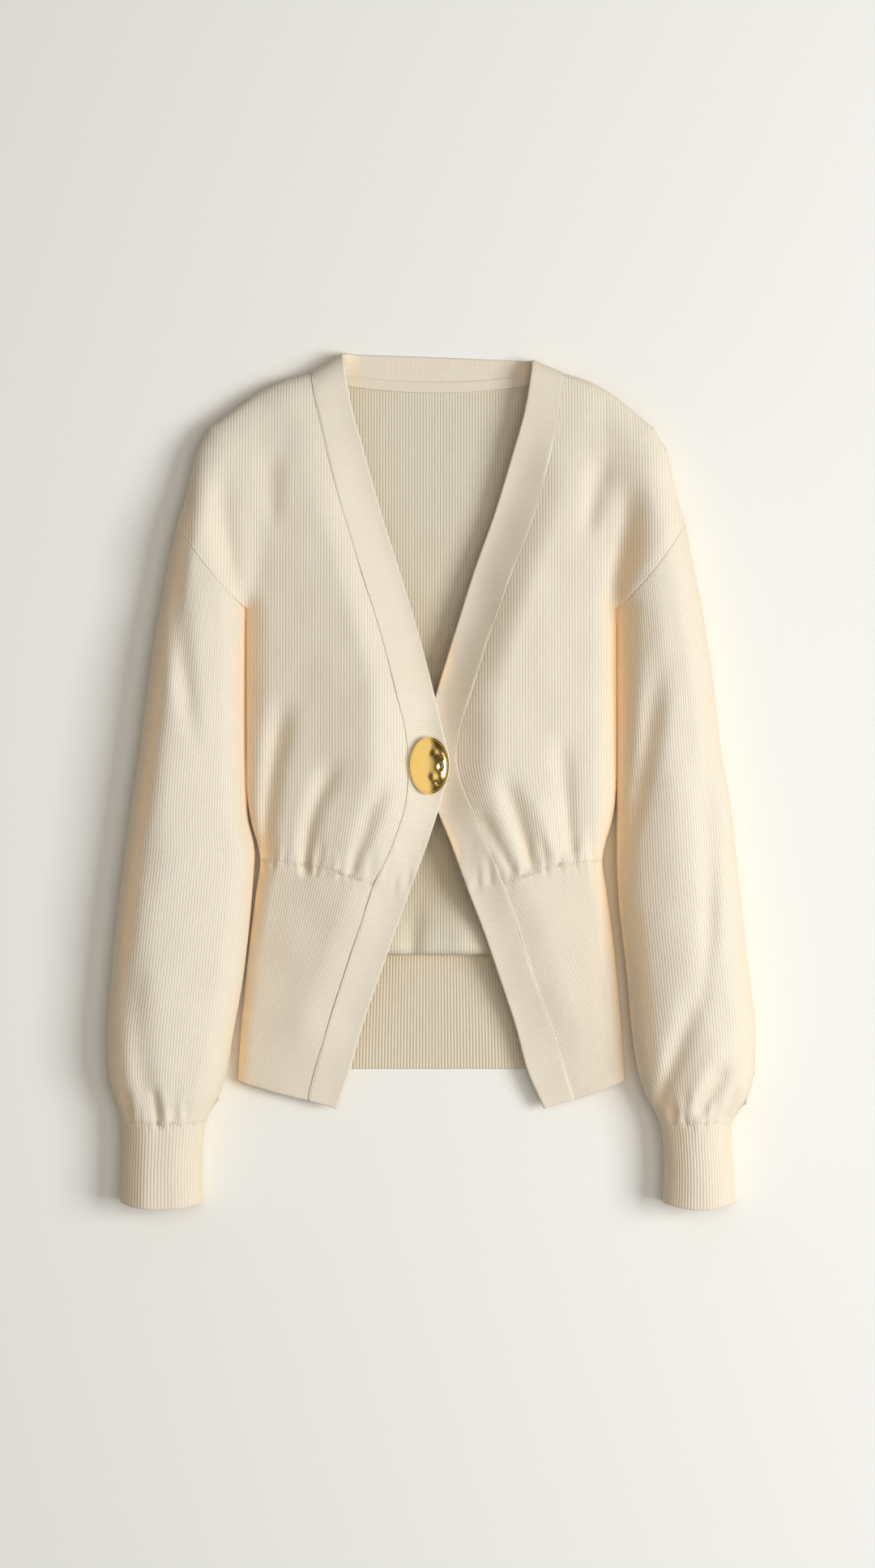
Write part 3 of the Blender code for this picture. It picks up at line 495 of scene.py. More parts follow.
def torso_height(x, y):
    """Height of the body's upper layer: a bed along the opening, a crown each side, a fall to the sides."""
    free_right, free_left = band_free[RIGHT](y), band_free[LEFT](y)
    middle = (free_right + free_left) / 2
    from_edge = np.maximum(np.abs(x - middle) - np.maximum(free_left - free_right, 0) / 2, 0)
    crown = np.where(x < middle, torso_loft["crown_right"](y), torso_loft["crown_left"](y))
    drop = np.where(x < 0, torso_loft["drop_right"](y), torso_loft["drop_left"](y))
    fall = drop * np.clip(np.abs(x) / body_side(0), 0, 1.4) ** FALL_POWER
    return mix(torso_loft["bed"](y), crown, ease(from_edge / BED_SPREAD)) - fall


def sleeve_height(side, y, across):
    """Height of a sleeve's upper layer at a share of its width, from its inner edge."""
    peak = SLEEVE_PEAK[side]
    inner_side = np.clip((peak - across) / peak, 0, 1.3)
    outer_side = np.clip((across - peak) / (1 - peak), 0, 1.3)
    return (sleeve_loft["crown"](y) - sleeve_loft["drop_in"](y) * inner_side ** SLEEVE_FALL_POWER
            - sleeve_loft["drop_out"](y) * outer_side ** SLEEVE_FALL_POWER)


def loft(x, y, name):
    """Crown, edge or reach at a point: the body's, the sleeve's, blended above the armpit."""
    out = np.abs(x)
    result = np.zeros_like(out)
    for side in (RIGHT, LEFT):
        here = (x < 0) == (side == RIGHT)
        inner, outer = sleeve_inner[side](y), sleeve_outer[side](y)
        across = (out - inner) / (outer - inner)
        if name == "crown":
            torso, sleeve = torso_height(x, y), sleeve_height(side, y, across)
        else:
            torso = torso_loft[name](y)
            sleeve = mix(sleeve_loft[name + "_in"](y), sleeve_loft[name + "_out"](y), ease(across))
        divide = (np.where(y < ARMPIT_Y, body_side(y), inner) + inner) / 2
        share = ease(0.5 + (out - divide) / (0.5 + 1.4 * np.maximum(0, y - ARMPIT_Y)))
        result = np.where(here, mix(torso, sleeve, share), result)
    return result


def fold_height(x, y, folds):
    """Sum of the folds: soft troughs and ridges that deepen along their length."""
    height = np.zeros_like(x)
    for fold in folds:
        start_x, run_x, run_y = fold.side * fold.x0, fold.side * (fold.x1 - fold.x0), fold.y1 - fold.y0
        length = math.hypot(run_x, run_y)
        t = ((x - start_x) * run_x + (y - fold.y0) * run_y) / length ** 2
        aside = ((x - start_x) * run_y - (y - fold.y0) * run_x) / length
        aside = aside - fold.side * fold.bow * 4 * t * (1 - t)
        end = fold.hold + (1 - fold.hold) * ease((1 - t) / FOLD_RAMP)
        width = fold.width * mix(*FOLD_TAPER, np.clip(t, 0, 1))
        past = np.exp(-(np.maximum(t - 1, 0) * length / width) ** 2)
        height += fold.depth * np.exp(-(aside / width) ** 2) * ease(t / FOLD_RAMP) * end * past
    return height


def slope_of(field, x, y):
    step = 0.5
    return ((field(x + step, y) - field(x - step, y)) / (2 * step),
            (field(x, y + step) - field(x, y - step)) / (2 * step))


def unit(nx, ny, nz):
    normal = np.stack((nx, ny, nz), axis=-1)
    return normal / np.linalg.norm(normal, axis=-1, keepdims=True)


def edge_height(x, y):
    return loft(x, y, "edge")


def overlap_lift(x, y):
    """Rise of the right front and its band towards the place where they lie on the left band."""
    return OVERLAP_LIFT * np.exp(-(x / OVERLAP_SPREAD_X) ** 2 - ((y - OVERLAP_Y) / OVERLAP_SPREAD_Y) ** 2)


def top_surface(x, y, lifted=False):
    """Outer face of the upper layer, with its normal: a crown that rounds down to the side seams."""
    lift = overlap_lift if lifted else (lambda px, py: 0.0 * px)

    def rise(px, py):
        folded = fold_height(px, py, FOLDS + PUCKERS)
        return loft(px, py, "crown") - edge_height(px, py) + folded + lift(px, py)

    depth, away_x, away_y = inset(x, y)
    reach = loft(x, y, "reach")
    t = np.clip(depth / reach, 0, 1)
    s = arc(t)
    height = rise(x, y)
    edge_x, edge_y = slope_of(edge_height, x, y)
    rise_x, rise_y = slope_of(rise, x, y)
    steep = height * (1 - t) / reach
    slope_x = s * edge_x + s * s * rise_x + steep * away_x
    slope_y = s * edge_y + s * s * rise_y + steep * away_y
    z = edge_height(x, y) + height * s
    return np.stack((x, y, z), axis=-1), unit(-slope_x, -slope_y, np.maximum(s, 1e-6))


def under_surface(x, y):
    """Outer face of the lower layer: flat on the table, rounding up to the side seams."""
    depth, away_x, away_y = inset(x, y)
    t = np.clip(depth / BACK_ROLL, 0, 1)
    s = arc(t)
    edge = edge_height(x, y)
    edge_x, edge_y = slope_of(edge_height, x, y)
    steep = edge * (1 - t) / BACK_ROLL
    slope_x = s * (1 - s) * edge_x - steep * away_x
    slope_y = s * (1 - s) * edge_y - steep * away_y
    z = edge * (1 - s)
    return np.stack((x, y, z), axis=-1), unit(slope_x, slope_y, -np.maximum(s, 1e-6))


# ---------------------------------------------------------------- spacing and shells
WALE = 2.45                    # width of a rib of the body knit
COURSE = 1.7                   # length of a stitch
TRIM_RIB_STEPS = 6             # steps across a rib of the cuffs and waistbands
FRONT_RIBS = 46
BACK_RIBS = 122
CUFF_RIBS = 31                 # on its upper side
RIB_BASE = RIB_WALL - 0.6      # wall that the ribs stand on, and how far it is set back for them
RIB_SUNK = -0.3
SEAM_ROUND = 0.55
WAIST_ROUND = 0.2
FREE_ROUND = 1.3
ROUND_STEPS = (0.0, 0.08, 0.3, 0.62)
Edges = namedtuple("Edges", "first_row last_row first_column last_column", defaults=(SEAM_ROUND,) * 4)


def rounded(even, length, round_first, round_last):
    """Even distances along a length, with close ones added at its rounded ends."""
    first = [round_first * part for part in ROUND_STEPS]
    last = [length - round_last * part for part in reversed(ROUND_STEPS)]
    return np.concatenate((first, even, last))


def spread(length, pitch, round_first=SEAM_ROUND, round_last=SEAM_ROUND):
    """Distances along a length, a pitch apart and closer at its rounded ends."""
    count = max(2, round((length - round_first - round_last) / pitch))
    even = np.linspace(round_first, length - round_last, count + 1)
    return rounded(even, length, round_first, round_last)


def rib_spread(length, ribs):
    """Distances along a length in even steps of each rib, with close ones at its rounded ends."""
    even = np.linspace(0, length, ribs * TRIM_RIB_STEPS + 1)[1:-1]
    clear = (even > SEAM_ROUND * 0.8) & (even < length - SEAM_ROUND * 0.8)
    return rounded(even[clear], length, SEAM_ROUND, SEAM_ROUND)


def lengths_of(points):
    """Length along a line of points, from its start."""
    return np.concatenate(([0.0], np.cumsum(np.linalg.norm(np.diff(points, axis=0), axis=1))))


BODY_SPACED_Y = 60.0           # heights at which a piece's columns lie at even distances on the cloth
FLAP_SPACED_Y = -165.0
BACK_BAND_SPACED_Y = -160.0
SLEEVE_LENGTH = 470.0          # lengths over which the rows are spaced
CUFF_LENGTH = 69.0
BACK_LENGTH = 478.0
FLAP_LENGTH = 187.5
BACK_BAND_LENGTH = 120.0
NECKBAND_LENGTH = 200.0
NECKBAND_DEPTH = 26.0
NECKBAND_RIB = 2.0             # widths of the ribs and stitches of the narrow pieces
TAPE_RIB = 1.2
BAND_STITCHES = (1.5, 1.1)
FINE = 0.5 - 0.5 * np.cos(np.linspace(0, np.pi, 600))


def along_cloth(line, spacing):
    """Shares from 0 to 1 of a line whose places lie at the wanted distances on the cloth."""
    run = lengths_of(line(FINE))
    return np.interp(spacing(run[-1]), run, FINE)


def edge_distances(points, axis):
    """Distance of each grid point from the grid's first and last line, counted along an axis."""
    step = np.linalg.norm(np.diff(points, axis=axis), axis=-1)
    pad = [(0, 0), (0, 0)]
    pad[axis] = (1, 0)
    run = np.cumsum(np.pad(step, pad), axis=axis)
    return run, np.take(run, [-1], axis=axis) - run


def roundness(points, edges, ring):
    """Share of its full wall that a shell has at each point: it closes in a round at each edge."""
    from_first, from_last = edge_distances(points, 0)
    shape = arc(from_first / edges.first_row) * arc(from_last / edges.last_row)
    if not ring:
        from_left, from_right = edge_distances(points, 1)
        shape = shape * arc(from_left / edges.first_column) * arc(from_right / edges.last_column)
    return shape


def write_values(mesh, name, values, kind="FLOAT", field="value"):
    """Keeps a value or a vector for each point of a mesh."""
    data = mesh.attributes.new(name, kind, "POINT").data
    data.foreach_set(field, values.astype(np.float32).ravel())


def smooth_solid(mesh):
    """Turns the faces of a closed mesh outwards and shades it smooth."""
    solid = bmesh.new()
    solid.from_mesh(mesh)
    bmesh.ops.recalc_face_normals(solid, faces=solid.faces)
    solid.to_mesh(mesh)
    solid.free()
    mesh.shade_smooth()
    return mesh


def shell_mesh(name, middle, normals, wall, edges, knit, ring):
    """Closed mesh of a wall round its middle surface, thinned to nothing at its edges.

    knit holds the rib number and the stitch number at each point and becomes the UV map. A ring closes on
    itself across its columns, and its knit has one column more than its points.
    """
    shape = roundness(middle, edges, ring)
    half = normals * (wall / 2 * shape)[..., None]
    rows, columns = middle.shape[:2]
    outer_index = np.arange(rows * columns).reshape(rows, columns)
    inner_index = outer_index + rows * columns
    inner_index[0], inner_index[-1] = outer_index[0], outer_index[-1]
    if ring:
        outer_index = np.concatenate((outer_index, outer_index[:, :1]), axis=1)
        inner_index = np.concatenate((inner_index, inner_index[:, :1]), axis=1)
    else:
        inner_index[:, 0], inner_index[:, -1] = outer_index[:, 0], outer_index[:, -1]
    vertices = np.concatenate(((middle + half).reshape(-1, 3), (middle - half).reshape(-1, 3))) * MM
    knit_quads = quads(*knit.shape[:2])
    faces = np.concatenate((quads(outer_index), quads(inner_index)[:, ::-1]))
    corners = np.concatenate((knit_quads, knit_quads[:, ::-1]))
    used, faces = np.unique(faces, return_inverse=True)
    mesh = bpy.data.meshes.new(name)
    mesh.from_pydata(vertices[used].tolist(), [], faces.reshape(-1, 4).tolist())
    layer = mesh.uv_layers.new(name="knit")
    layer.data.foreach_set("uv", knit.reshape(-1, 2)[corners.ravel()].astype(np.float32).ravel())
    for attribute, values in (("rib", knit[:, :columns, 0]), ("rib_share", shape)):
        both = np.concatenate((values.ravel(), values.ravel()))[used]
        write_values(mesh, attribute, both)
    return smooth_solid(mesh)


def grow(tree, piece, **inputs):
    """Runs a geometry tree on a piece with its named inputs set, and keeps the result as a plain mesh."""
    modifier = piece.modifiers.new(tree.name, "NODES")
    modifier.node_group = tree
    for item in tree.interface.items_tree:
        if item.in_out == "INPUT" and item.name in inputs:
            modifier[item.identifier] = inputs[item.name]
    ready = piece.evaluated_get(bpy.context.evaluated_depsgraph_get())
    mesh = bpy.data.meshes.new_from_object(ready)
    piece.modifiers.clear()
    piece.data = mesh
    return piece


def dress(piece, material, node=None):
    """Finishes a piece: gives it its material, hangs it on the root body and hides the solid it stands for.
    """
    if not piece.data.materials:
        piece.data.materials.append(material)
    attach(piece, "root")
    if node:
        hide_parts(node)
    return piece


def add_cloth(node, material, shell, made="knit_", ring=False, ribs=None):
    """A cloth piece from its shell: middle surface, normals, wall, edges and knit.

    Ribs are given as their tree and their height in millimetres.
    """
    mesh = shell_mesh(made + node, *shell, ring)
    piece = new_object(made + node, mesh)
    if ribs:
        grow(ribs[0], piece, **{"Rib height": ribs[1] * MM, "Material": material})
    dress(piece, material, node)
    return piece


# ---------------------------------------------------------------- geometry trees
def named_value(tree, name, kind="FLOAT"):
    node = add_node(tree, "GeometryNodeInputNamedAttribute", {"Name": name}, data_type=kind)
    return node.outputs["Attribute"]


def new_tree(name, inputs):
    return new_group(name, "GeometryNodeTree", {"Geometry": "Geometry", **inputs, "Material": "Material"},
                     {"Geometry": "Geometry"})


def end_tree(tree, geometry, material):
    """Ends a tree: instances made real, the material set."""
    real = add_node(tree, "GeometryNodeRealizeInstances", {"Geometry": geometry})
    paint = add_node(tree, "GeometryNodeSetMaterial", {"Geometry": real.outputs[0], "Material": material})
    add_node(tree, "NodeGroupOutput", {"Geometry": paint.outputs[0]})
    return tree


def rib_tree():
    """Raises rounded ribs out of a cloth surface, one for each whole step of its rib number."""
    tree, given = new_tree("ribs", {"Rib height": "Float"})
    turn = math_node(tree, "MULTIPLY", named_value(tree, "rib"), math.pi)
    round_top = math_node(tree, "ABSOLUTE", math_node(tree, "SINE", turn))
    height = math_node(tree, "MULTIPLY", round_top, named_value(tree, "rib_share"))
    height = math_node(tree, "MULTIPLY", height, given["Rib height"])
    normal = add_node(tree, "GeometryNodeInputNormal").outputs["Normal"]
    offset = add_node(tree, "ShaderNodeVectorMath", {0: normal, "Scale": height}, operation="SCALE")
    moved = add_node(tree, "GeometryNodeSetPosition", {
        "Geometry": given["Geometry"], "Offset": offset.outputs["Vector"]})
    return end_tree(tree, moved.outputs[0], given["Material"])


def stitch_tree():
    """Sets a small bead of thread on each point, along its own direction."""
    tree, given = new_tree("stitches", {"Stitch size": "Vector"})
    bead = add_node(tree, "GeometryNodeMeshUVSphere", {"Segments": 7, "Rings": 5, "Radius": 0.5})
    up, along = (named_value(tree, name, "FLOAT_VECTOR") for name in ("up", "along"))
    turn = add_node(tree, "FunctionNodeAxesToRotation", primary_axis="Z", secondary_axis="X")
    feed(tree, turn, {"Primary Axis": up, "Secondary Axis": along})
    placed = add_node(tree, "GeometryNodeInstanceOnPoints", {
        "Points": given["Geometry"], "Instance": bead.outputs["Mesh"], "Rotation": turn.outputs["Rotation"],
        "Scale": given["Stitch size"]})
    smooth = add_node(tree, "GeometryNodeSetShadeSmooth", {"Geometry": placed.outputs["Instances"]})
    return end_tree(tree, smooth.outputs[0], given["Material"])


# ---------------------------------------------------------------- materials
FIBRE_SCALE = 900.0
PATCH_SCALE = 22.0
PAINTED_SHADE_FROM = (0.015, 0.35)  # shelter from which a fold takes painted warm shade, and at which the painted shade is full
PAINTED_BOUNCE_FROM = (0.12, 0.55)  # the same for the painted bounce light that the cloth glows with
BLACK = (0.0, 0.0, 0.0)


def knit_group():
    """Stitch pattern: columns of V-shaped stitches, with painted shade between the ribs, and painted warm
    shade and a painted glow of bounce light in folds and gaps.
    """
    group, given = new_group(
        "knit_stitches", "ShaderNodeTree",
        {"Stitches": "Vector", "Place": "Vector", "Shelter": "Float", "Colour": "Color", "Painted valley shade": "Color",
         "Painted shade tint": "Color", "Painted bounce light": "Color"},
        {"Colour": "Color", "Height": "Float", "Painted bounce light": "Color"})

    def calc(operation, *values):
        return math_node(group, operation, *values)

    split = add_node(group, "ShaderNodeSeparateXYZ", {0: given["Stitches"]})
    rib, course = split.outputs[0], split.outputs[1]
    ridge = calc("POWER", calc("ABSOLUTE", calc("SINE", calc("MULTIPLY", rib, math.pi))), 0.7)
    aside = calc("ABSOLUTE", calc("SUBTRACT", calc("FRACT", rib), 0.5))
    lean = calc("ADD", course, calc("MULTIPLY", aside, 1.5))
    loop = calc("SINE", calc("MULTIPLY", lean, 2 * math.pi))
    loops = calc("MULTIPLY", calc("MULTIPLY", loop, ridge), 0.22)
    fibre = calc("MULTIPLY", noise(group, given["Place"], FIBRE_SCALE, 3.0), 0.5)
    patch = calc("MULTIPLY", noise(group, given["Place"], PATCH_SCALE), 0.10)
    grain = calc("MULTIPLY", calc("SUBTRACT", fibre, 0.25), 1.6)
    # the ridge share paints shade into the valleys between the ribs; patch and grain are random tone of the
    # yarn
    shade = calc("ADD", calc("ADD", calc("MULTIPLY", ridge, 0.8), patch), grain)
    colour = blend(group, shade, given["Painted valley shade"], given["Colour"])
    # painted warm shade and painted bounce light, by how closed in the cloth is
    shade_share, bounce_share = (ramp(group, given["Shelter"], *ends) for ends in (PAINTED_SHADE_FROM, PAINTED_BOUNCE_FROM))
    add_node(group, "NodeGroupOutput", {
        "Height": calc("ADD", calc("ADD", ridge, loops), fibre),
        "Colour": blend(group, shade_share, colour, given["Painted shade tint"], blend_type="MULTIPLY"),
        "Painted bounce light": blend(group, bounce_share, (*BLACK, 1.0), given["Painted bounce light"])})
    return group


PAINTED_FOLD_SHADE_AND_BOUNCE = ((0.98, 0.82, 0.62), (0.30, 0.195, 0.105))     # painted warm shade in closed folds, and the painted bounce light they glow with
# painted shade, darker and warmer, where the inside knit is closed in; it throws no painted bounce light
INSIDE_PAINTED_SHADE = ((0.90, 0.83, 0.72), BLACK)


def knit_material(name, group, colour, valley_shade, depth, painted_shade=PAINTED_FOLD_SHADE_AND_BOUNCE):
    """Knit with the colours of its ridges and of its valleys (painted shade between the ribs), the depth of
    its bump in millimetres, and the painted warm shade and bounce light of its folds.
    """
    material, tree, shader = new_material(name)
    pattern = add_node(tree, "ShaderNodeGroup", node_tree=group)
    feed(tree, pattern, {
        "Stitches": add_node(tree, "ShaderNodeUVMap", uv_map="knit").outputs["UV"],
        "Place": object_place(tree), "Shelter": shelter_value(tree), "Colour": (*colour, 1.0),
        "Painted valley shade": (*valley_shade, 1.0), "Painted shade tint": (*painted_shade[0], 1.0), "Painted bounce light": (*painted_shade[1], 1.0)})
    bump = add_node(tree, "ShaderNodeBump", {
        "Height": pattern.outputs["Height"], "Distance": depth * MM, "Strength": 1.0})
    # the emission is painted bounce light: the cloth glows in its folds and gaps, though it is no lamp
    feed(tree, shader, {
        "Base Color": pattern.outputs["Colour"], "Emission Color": pattern.outputs["Painted bounce light"],
        "Emission Strength": 1.0, "Roughness": 0.95, "Specular IOR Level": 0.12, "Sheen Weight": 0.12,
        "Sheen Roughness": 0.45, "Sheen Tint": (1.0, 0.95, 0.85, 1.0), "Normal": bump.outputs["Normal"]})
    return material


def thread_material(name, dark, light):
    material, tree, shader = new_material(name)
    colour = blend(tree, noise(tree, object_place(tree), 700.0), (*dark, 1.0), (*light, 1.0))
    feed(tree, shader, {
        "Base Color": colour, "Roughness": 0.9, "Specular IOR Level": 0.12, "Sheen Weight": 0.22})
    return material


def gold_material():
    material, tree, shader = new_material("hammered_gold")
    bump = add_node(tree, "ShaderNodeBump", {
        "Height": noise(tree, object_place(tree), 420.0), "Distance": 0.2 * MM, "Strength": 0.4})
    feed(tree, shader, {"Base Color": (0.95, 0.63, 0.19, 1.0), "Metallic": 1.0, "Roughness": 0.16,
                        "Normal": bump.outputs["Normal"]})
    return material


# ---------------------------------------------------------------- cloth pieces
def knit_map(rib, y):
    """Rib number and stitch number at each point."""
    return np.stack(np.broadcast_arrays(rib, y / COURSE), axis=-1)


def lies_on_band(side, y):
    """How far the front's ribs lean with its band below the button."""
    return band_seam[side](np.minimum(y, OVERLAP_Y)) - band_seam[side](OVERLAP_Y)


SWELLS = table(                # long, slight swells over all the upper cloth
    "pitch lean size start",
    (61, 0.35, 0.16, 0.4), (43, -0.55, 0.10, 2.1), (31, 0.15, 0.06, 4.0), (83, 1.3, 0.2, 5.2))
RIPPLES = table(               # short gathers where the full cloth is linked to a narrow rib
    "pitch lean size start", (6.4, 0.12, 0.20, 0.9), (9.7, -0.16, 0.34, 2.6), (14.3, 0.1, 0.42, 4.4))
RIPPLE_ABOVE = 15.0
RIPPLE_BELOW = 5.0


def waves(rows, x, y):
    return sum(row.size * np.sin(2 * np.pi * (x + row.lean * y) / row.pitch + row.start) for row in rows)


def waist_seam_y(x):
    """Height of the seam between a front and its waistband, at a distance out from the centre line."""
    across = np.linspace(0, 1, 40)
    line_x, line_y = front_plan(RIGHT, BODY_ROWS, (BODY_ROWS[0].y,), across)
    return np.interp(np.abs(x), -line_x[0][::-1], line_y[0][::-1])


def gathers(x, y):
    """Small ripples along the waist seam and the cuff seams."""
    on_sleeve = np.abs(x) > np.where(y < ARMPIT_Y, body_side(y), 400.0)
    seam_y = np.where(on_sleeve, CUFF_SEAM_Y, waist_seam_y(x))
    above = y - seam_y
    fade = np.where(above > 0, np.exp(-np.maximum(above, 0) / RIPPLE_ABOVE),
                    np.exp(np.minimum(above, 0) / RIPPLE_BELOW))
    return fade * waves(RIPPLES, x, y)


def middle_surface(surface, x, y, wall, proud=0.0, **options):
    """Middle surface of a wall whose outer face stands proud of a surface."""
    points, normals = surface(x, y, **options)
    middle = points + normals * (proud - wall / 2)
    if surface is top_surface:
        inside = ease((inset(x, y)[0] - 2.0) / 12.0)
        middle[..., 2] += inside * (waves(SWELLS, x, y) + gathers(x, y))
    return middle, normals


SHOULDER_EASE = 26.0           # height below the shoulder tip over which the rows come closer


def front_heights():
    """Heights of a front's rows at its outer edge, from the waist seam to the shoulder tip."""
    return np.concatenate((
        BODY_ROWS[0].y + spread(ARMPIT_Y - BODY_ROWS[0].y, 2.7, WAIST_ROUND, 1.0)[:-4],
        np.linspace(ARMPIT_Y, SHOULDER_DROP_Y, 28),
        np.linspace(SHOULDER_DROP_Y, SHOULDER_TIP_Y - SHOULDER_EASE, 20)[1:],
        SHOULDER_TIP_Y - spread(SHOULDER_EASE, 1.6, SEAM_ROUND, 1.0)[:-4][::-1]))


def front_line(side, rows, y):
    """The line across a front at one height, as a function of shares across it."""
    return lambda share: top_surface(*front_plan(side, rows, (y,), share), lifted=side == RIGHT)[0][0]


def add_front(side, material):
    across = along_cloth(front_line(side, BODY_ROWS, BODY_SPACED_Y), lambda length: spread(length, 2.2))
    x, y = front_plan(side, BODY_ROWS, front_heights(), across)
    lean = lies_on_band(side, y) * across[None, :] ** 2
    shell = (*middle_surface(top_surface, x, y, BODY_WALL, lifted=side == RIGHT), BODY_WALL,
             Edges(WAIST_ROUND), knit_map((x - lean) / WALE, y))
    return add_cloth("front_" + WORD[side], material, shell)


def add_front_waistband(side, material, ribs):
    line = front_line(side, FLAP_ROWS, FLAP_SPACED_Y)
    across = along_cloth(line, lambda length: rib_spread(length, FRONT_RIBS))
    length = lengths_of(line(FINE))
    rib = np.interp(across, FINE, length / length[-1]) * FRONT_RIBS
    rows = FLAP_ROWS[0].y + spread(FLAP_LENGTH, 2.6, FREE_ROUND, WAIST_ROUND)
    x, y = front_plan(side, FLAP_ROWS, rows, across)
    shell = (*middle_surface(top_surface, x, y, RIB_BASE, RIB_SUNK, lifted=side == RIGHT), RIB_BASE,
             Edges(FREE_ROUND, WAIST_ROUND), knit_map(rib, y))
    return add_cloth("waistband_front_" + WORD[side], material, shell,
                     ribs=(ribs, 0.10))


def band_plan(side, seam_heights, across):
    """Plan of a front band, from its seam (0) to its free edge (1)."""
    seam_y = np.array(seam_heights, dtype=float)[:, None]
    u = np.array(across, dtype=float)[None, :]
    y = seam_y + band_slant[side](seam_y) * u
    return mix(band_seam[side](y), band_free[side](y), u), y


def add_band(side, material):
    low, high = FLAP_ROWS[0].seam, BODY_ROWS[-1].seam
    heights = low + spread(high - low, 2.4, FREE_ROUND)
    across = spread(BAND_WIDTH, 1.6, SEAM_ROUND, FREE_ROUND) / BAND_WIDTH
    x, y = band_plan(side, heights, across)
    knit = np.stack(np.broadcast_arrays(heights[:, None] / BAND_STITCHES[0],
                                        BAND_WIDTH * across / BAND_STITCHES[1]), axis=-1)
    shell = (*middle_surface(top_surface, x, y, BAND_WALL, BAND_PROUD, lifted=side == RIGHT), BAND_WALL,
             Edges(FREE_ROUND, last_column=FREE_ROUND), knit)
    return add_cloth("band_" + WORD[side], material, shell)


def sleeve_grid(side, top, bottom, rows, spacing, wall, proud=0.0):
    """A sleeve or cuff as one ring: its upper layer outwards to inwards, its lower layer back again."""

    def line(surface):
        def at(share):
            y = mix(top(share), bottom(share), 0.6)
            return surface(side * mix(sleeve_outer[side](y), sleeve_inner[side](y), share), y)[0]
        return at

    layers = []
    for surface in (top_surface, under_surface):
        across = along_cloth(line(surface), spacing)
        y = mix(top(across)[None, :], bottom(across)[None, :], rows[:, None])
        x = side * mix(sleeve_outer[side](y), sleeve_inner[side](y), across[None, :])
        layers.append(middle_surface(surface, x, y, wall, proud))
    upper, lower = layers
    middle = np.concatenate((upper[0], lower[0][:, -2:0:-1]), axis=1)
    normals = np.concatenate((upper[1], lower[1][:, -2:0:-1]), axis=1)
    return middle, normals


GATHER_Y = -216.0              # below this the sleeve's ribs close up towards the cuff


def ring_knit(middle):
    """Rib numbers round a sleeve, from the middle line of its upper layer, and stitch numbers along it."""
    closed = np.concatenate((middle, middle[:, :1]), axis=1)
    around = np.concatenate((np.zeros((len(closed), 1)), np.cumsum(
        np.linalg.norm(np.diff(closed, axis=1), axis=-1), axis=1)), axis=1)
    row_y = closed[:, :, 1].mean(axis=1)
    full = np.interp(GATHER_Y, row_y[::-1], around[::-1, -1])
    close_up = np.where(row_y < GATHER_Y, around[:, -1] / full, 1.0)
    from_middle = around - around[:, middle.shape[1] // 4][:, None]
    return knit_map(from_middle / (WALE * close_up[:, None]), closed[..., 1])


def armhole_seam(across):
    return mix(SHOULDER_DROP_Y, ARMPIT_Y, across)


def cuff_seam(across):
    return CUFF_SEAM_Y + 0 * across


def cuff_end(across):
    return CUFF_END_Y - CUFF_BOW * np.sin(np.pi * across)


def add_sleeve(side, material):
    rows = spread(SLEEVE_LENGTH, 2.9, SEAM_ROUND, WAIST_ROUND) / SLEEVE_LENGTH
    grid = sleeve_grid(side, armhole_seam, cuff_seam, rows,
                       lambda length: np.linspace(0, length, round(length / 2.1) + 1), BODY_WALL)
    shell = (*grid, BODY_WALL, Edges(SEAM_ROUND, WAIST_ROUND), ring_knit(grid[0]))
    return add_cloth("sleeve_" + WORD[side], material, shell, ring=True)


def add_cuff(side, material, ribs):
    rows = spread(CUFF_LENGTH, 2.2, WAIST_ROUND, FREE_ROUND) / CUFF_LENGTH
    steps = CUFF_RIBS * TRIM_RIB_STEPS
    grid = sleeve_grid(side, cuff_seam, cuff_end, rows, lambda length: np.linspace(0, length, steps + 1),
                       RIB_BASE, RIB_SUNK)
    y = grid[0][..., 1]
    y = np.concatenate((y, y[:, :1]), axis=1)
    knit = knit_map(np.arange(y.shape[1]) / TRIM_RIB_STEPS, y)
    shell = (*grid, RIB_BASE, Edges(WAIST_ROUND, FREE_ROUND), knit)
    return add_cloth("cuff_" + WORD[side], material, shell, ring=True,
                     ribs=(ribs, 0.3))


def blouse_end(share):
    """Lower end of the back body: its seam at the sides, its blousing fold in the middle."""
    return mix(BLOUSE_END_Y, BLOUSE_SIDE_Y, ease((np.abs(share) - 0.45) / 0.55))


def neck_seam(x):
    return NECK_SEAM_Y + 11.0 * np.clip(np.abs(x - NECK_MIDDLE_X) / 106.0, 0, 1) ** 2


def back_top(share):
    """Upper edge of the back: the shoulder lines, with the back neck scooped between them."""
    x = share * shoulder_drop(SHOULDER_TIP_Y)
    high = neck_seam(x)
    for side in (RIGHT, LEFT):
        line_x, line_y = front_plan(side, BODY_ROWS, (SHOULDER_TIP_Y,), np.linspace(0, 1, 60))
        shoulder = np.interp(side * x, side * line_x[0][::-1], line_y[0][::-1])
        high = np.where(side * x > side * line_x[0, -1], shoulder, high)
    return high


BLOUSE_RADIUS = 5.5
BLOUSE_TUCK = 20.0
BLOUSE_TUCK_STEPS = (0.1, 0.25, 0.5, 0.75, 0.95, 0.98, 1.0)
BLOUSE_TURNS = 12


def back_share(surface_y, spacing):
    """Places across the back at even distances on the cloth, from the wearer's right to left."""

    def line(share):
        y = np.full_like(share, surface_y)
        signed = 2 * share - 1
        return under_surface(signed * body_side(surface_y), y)[0]

    return 2 * along_cloth(line, spacing) - 1


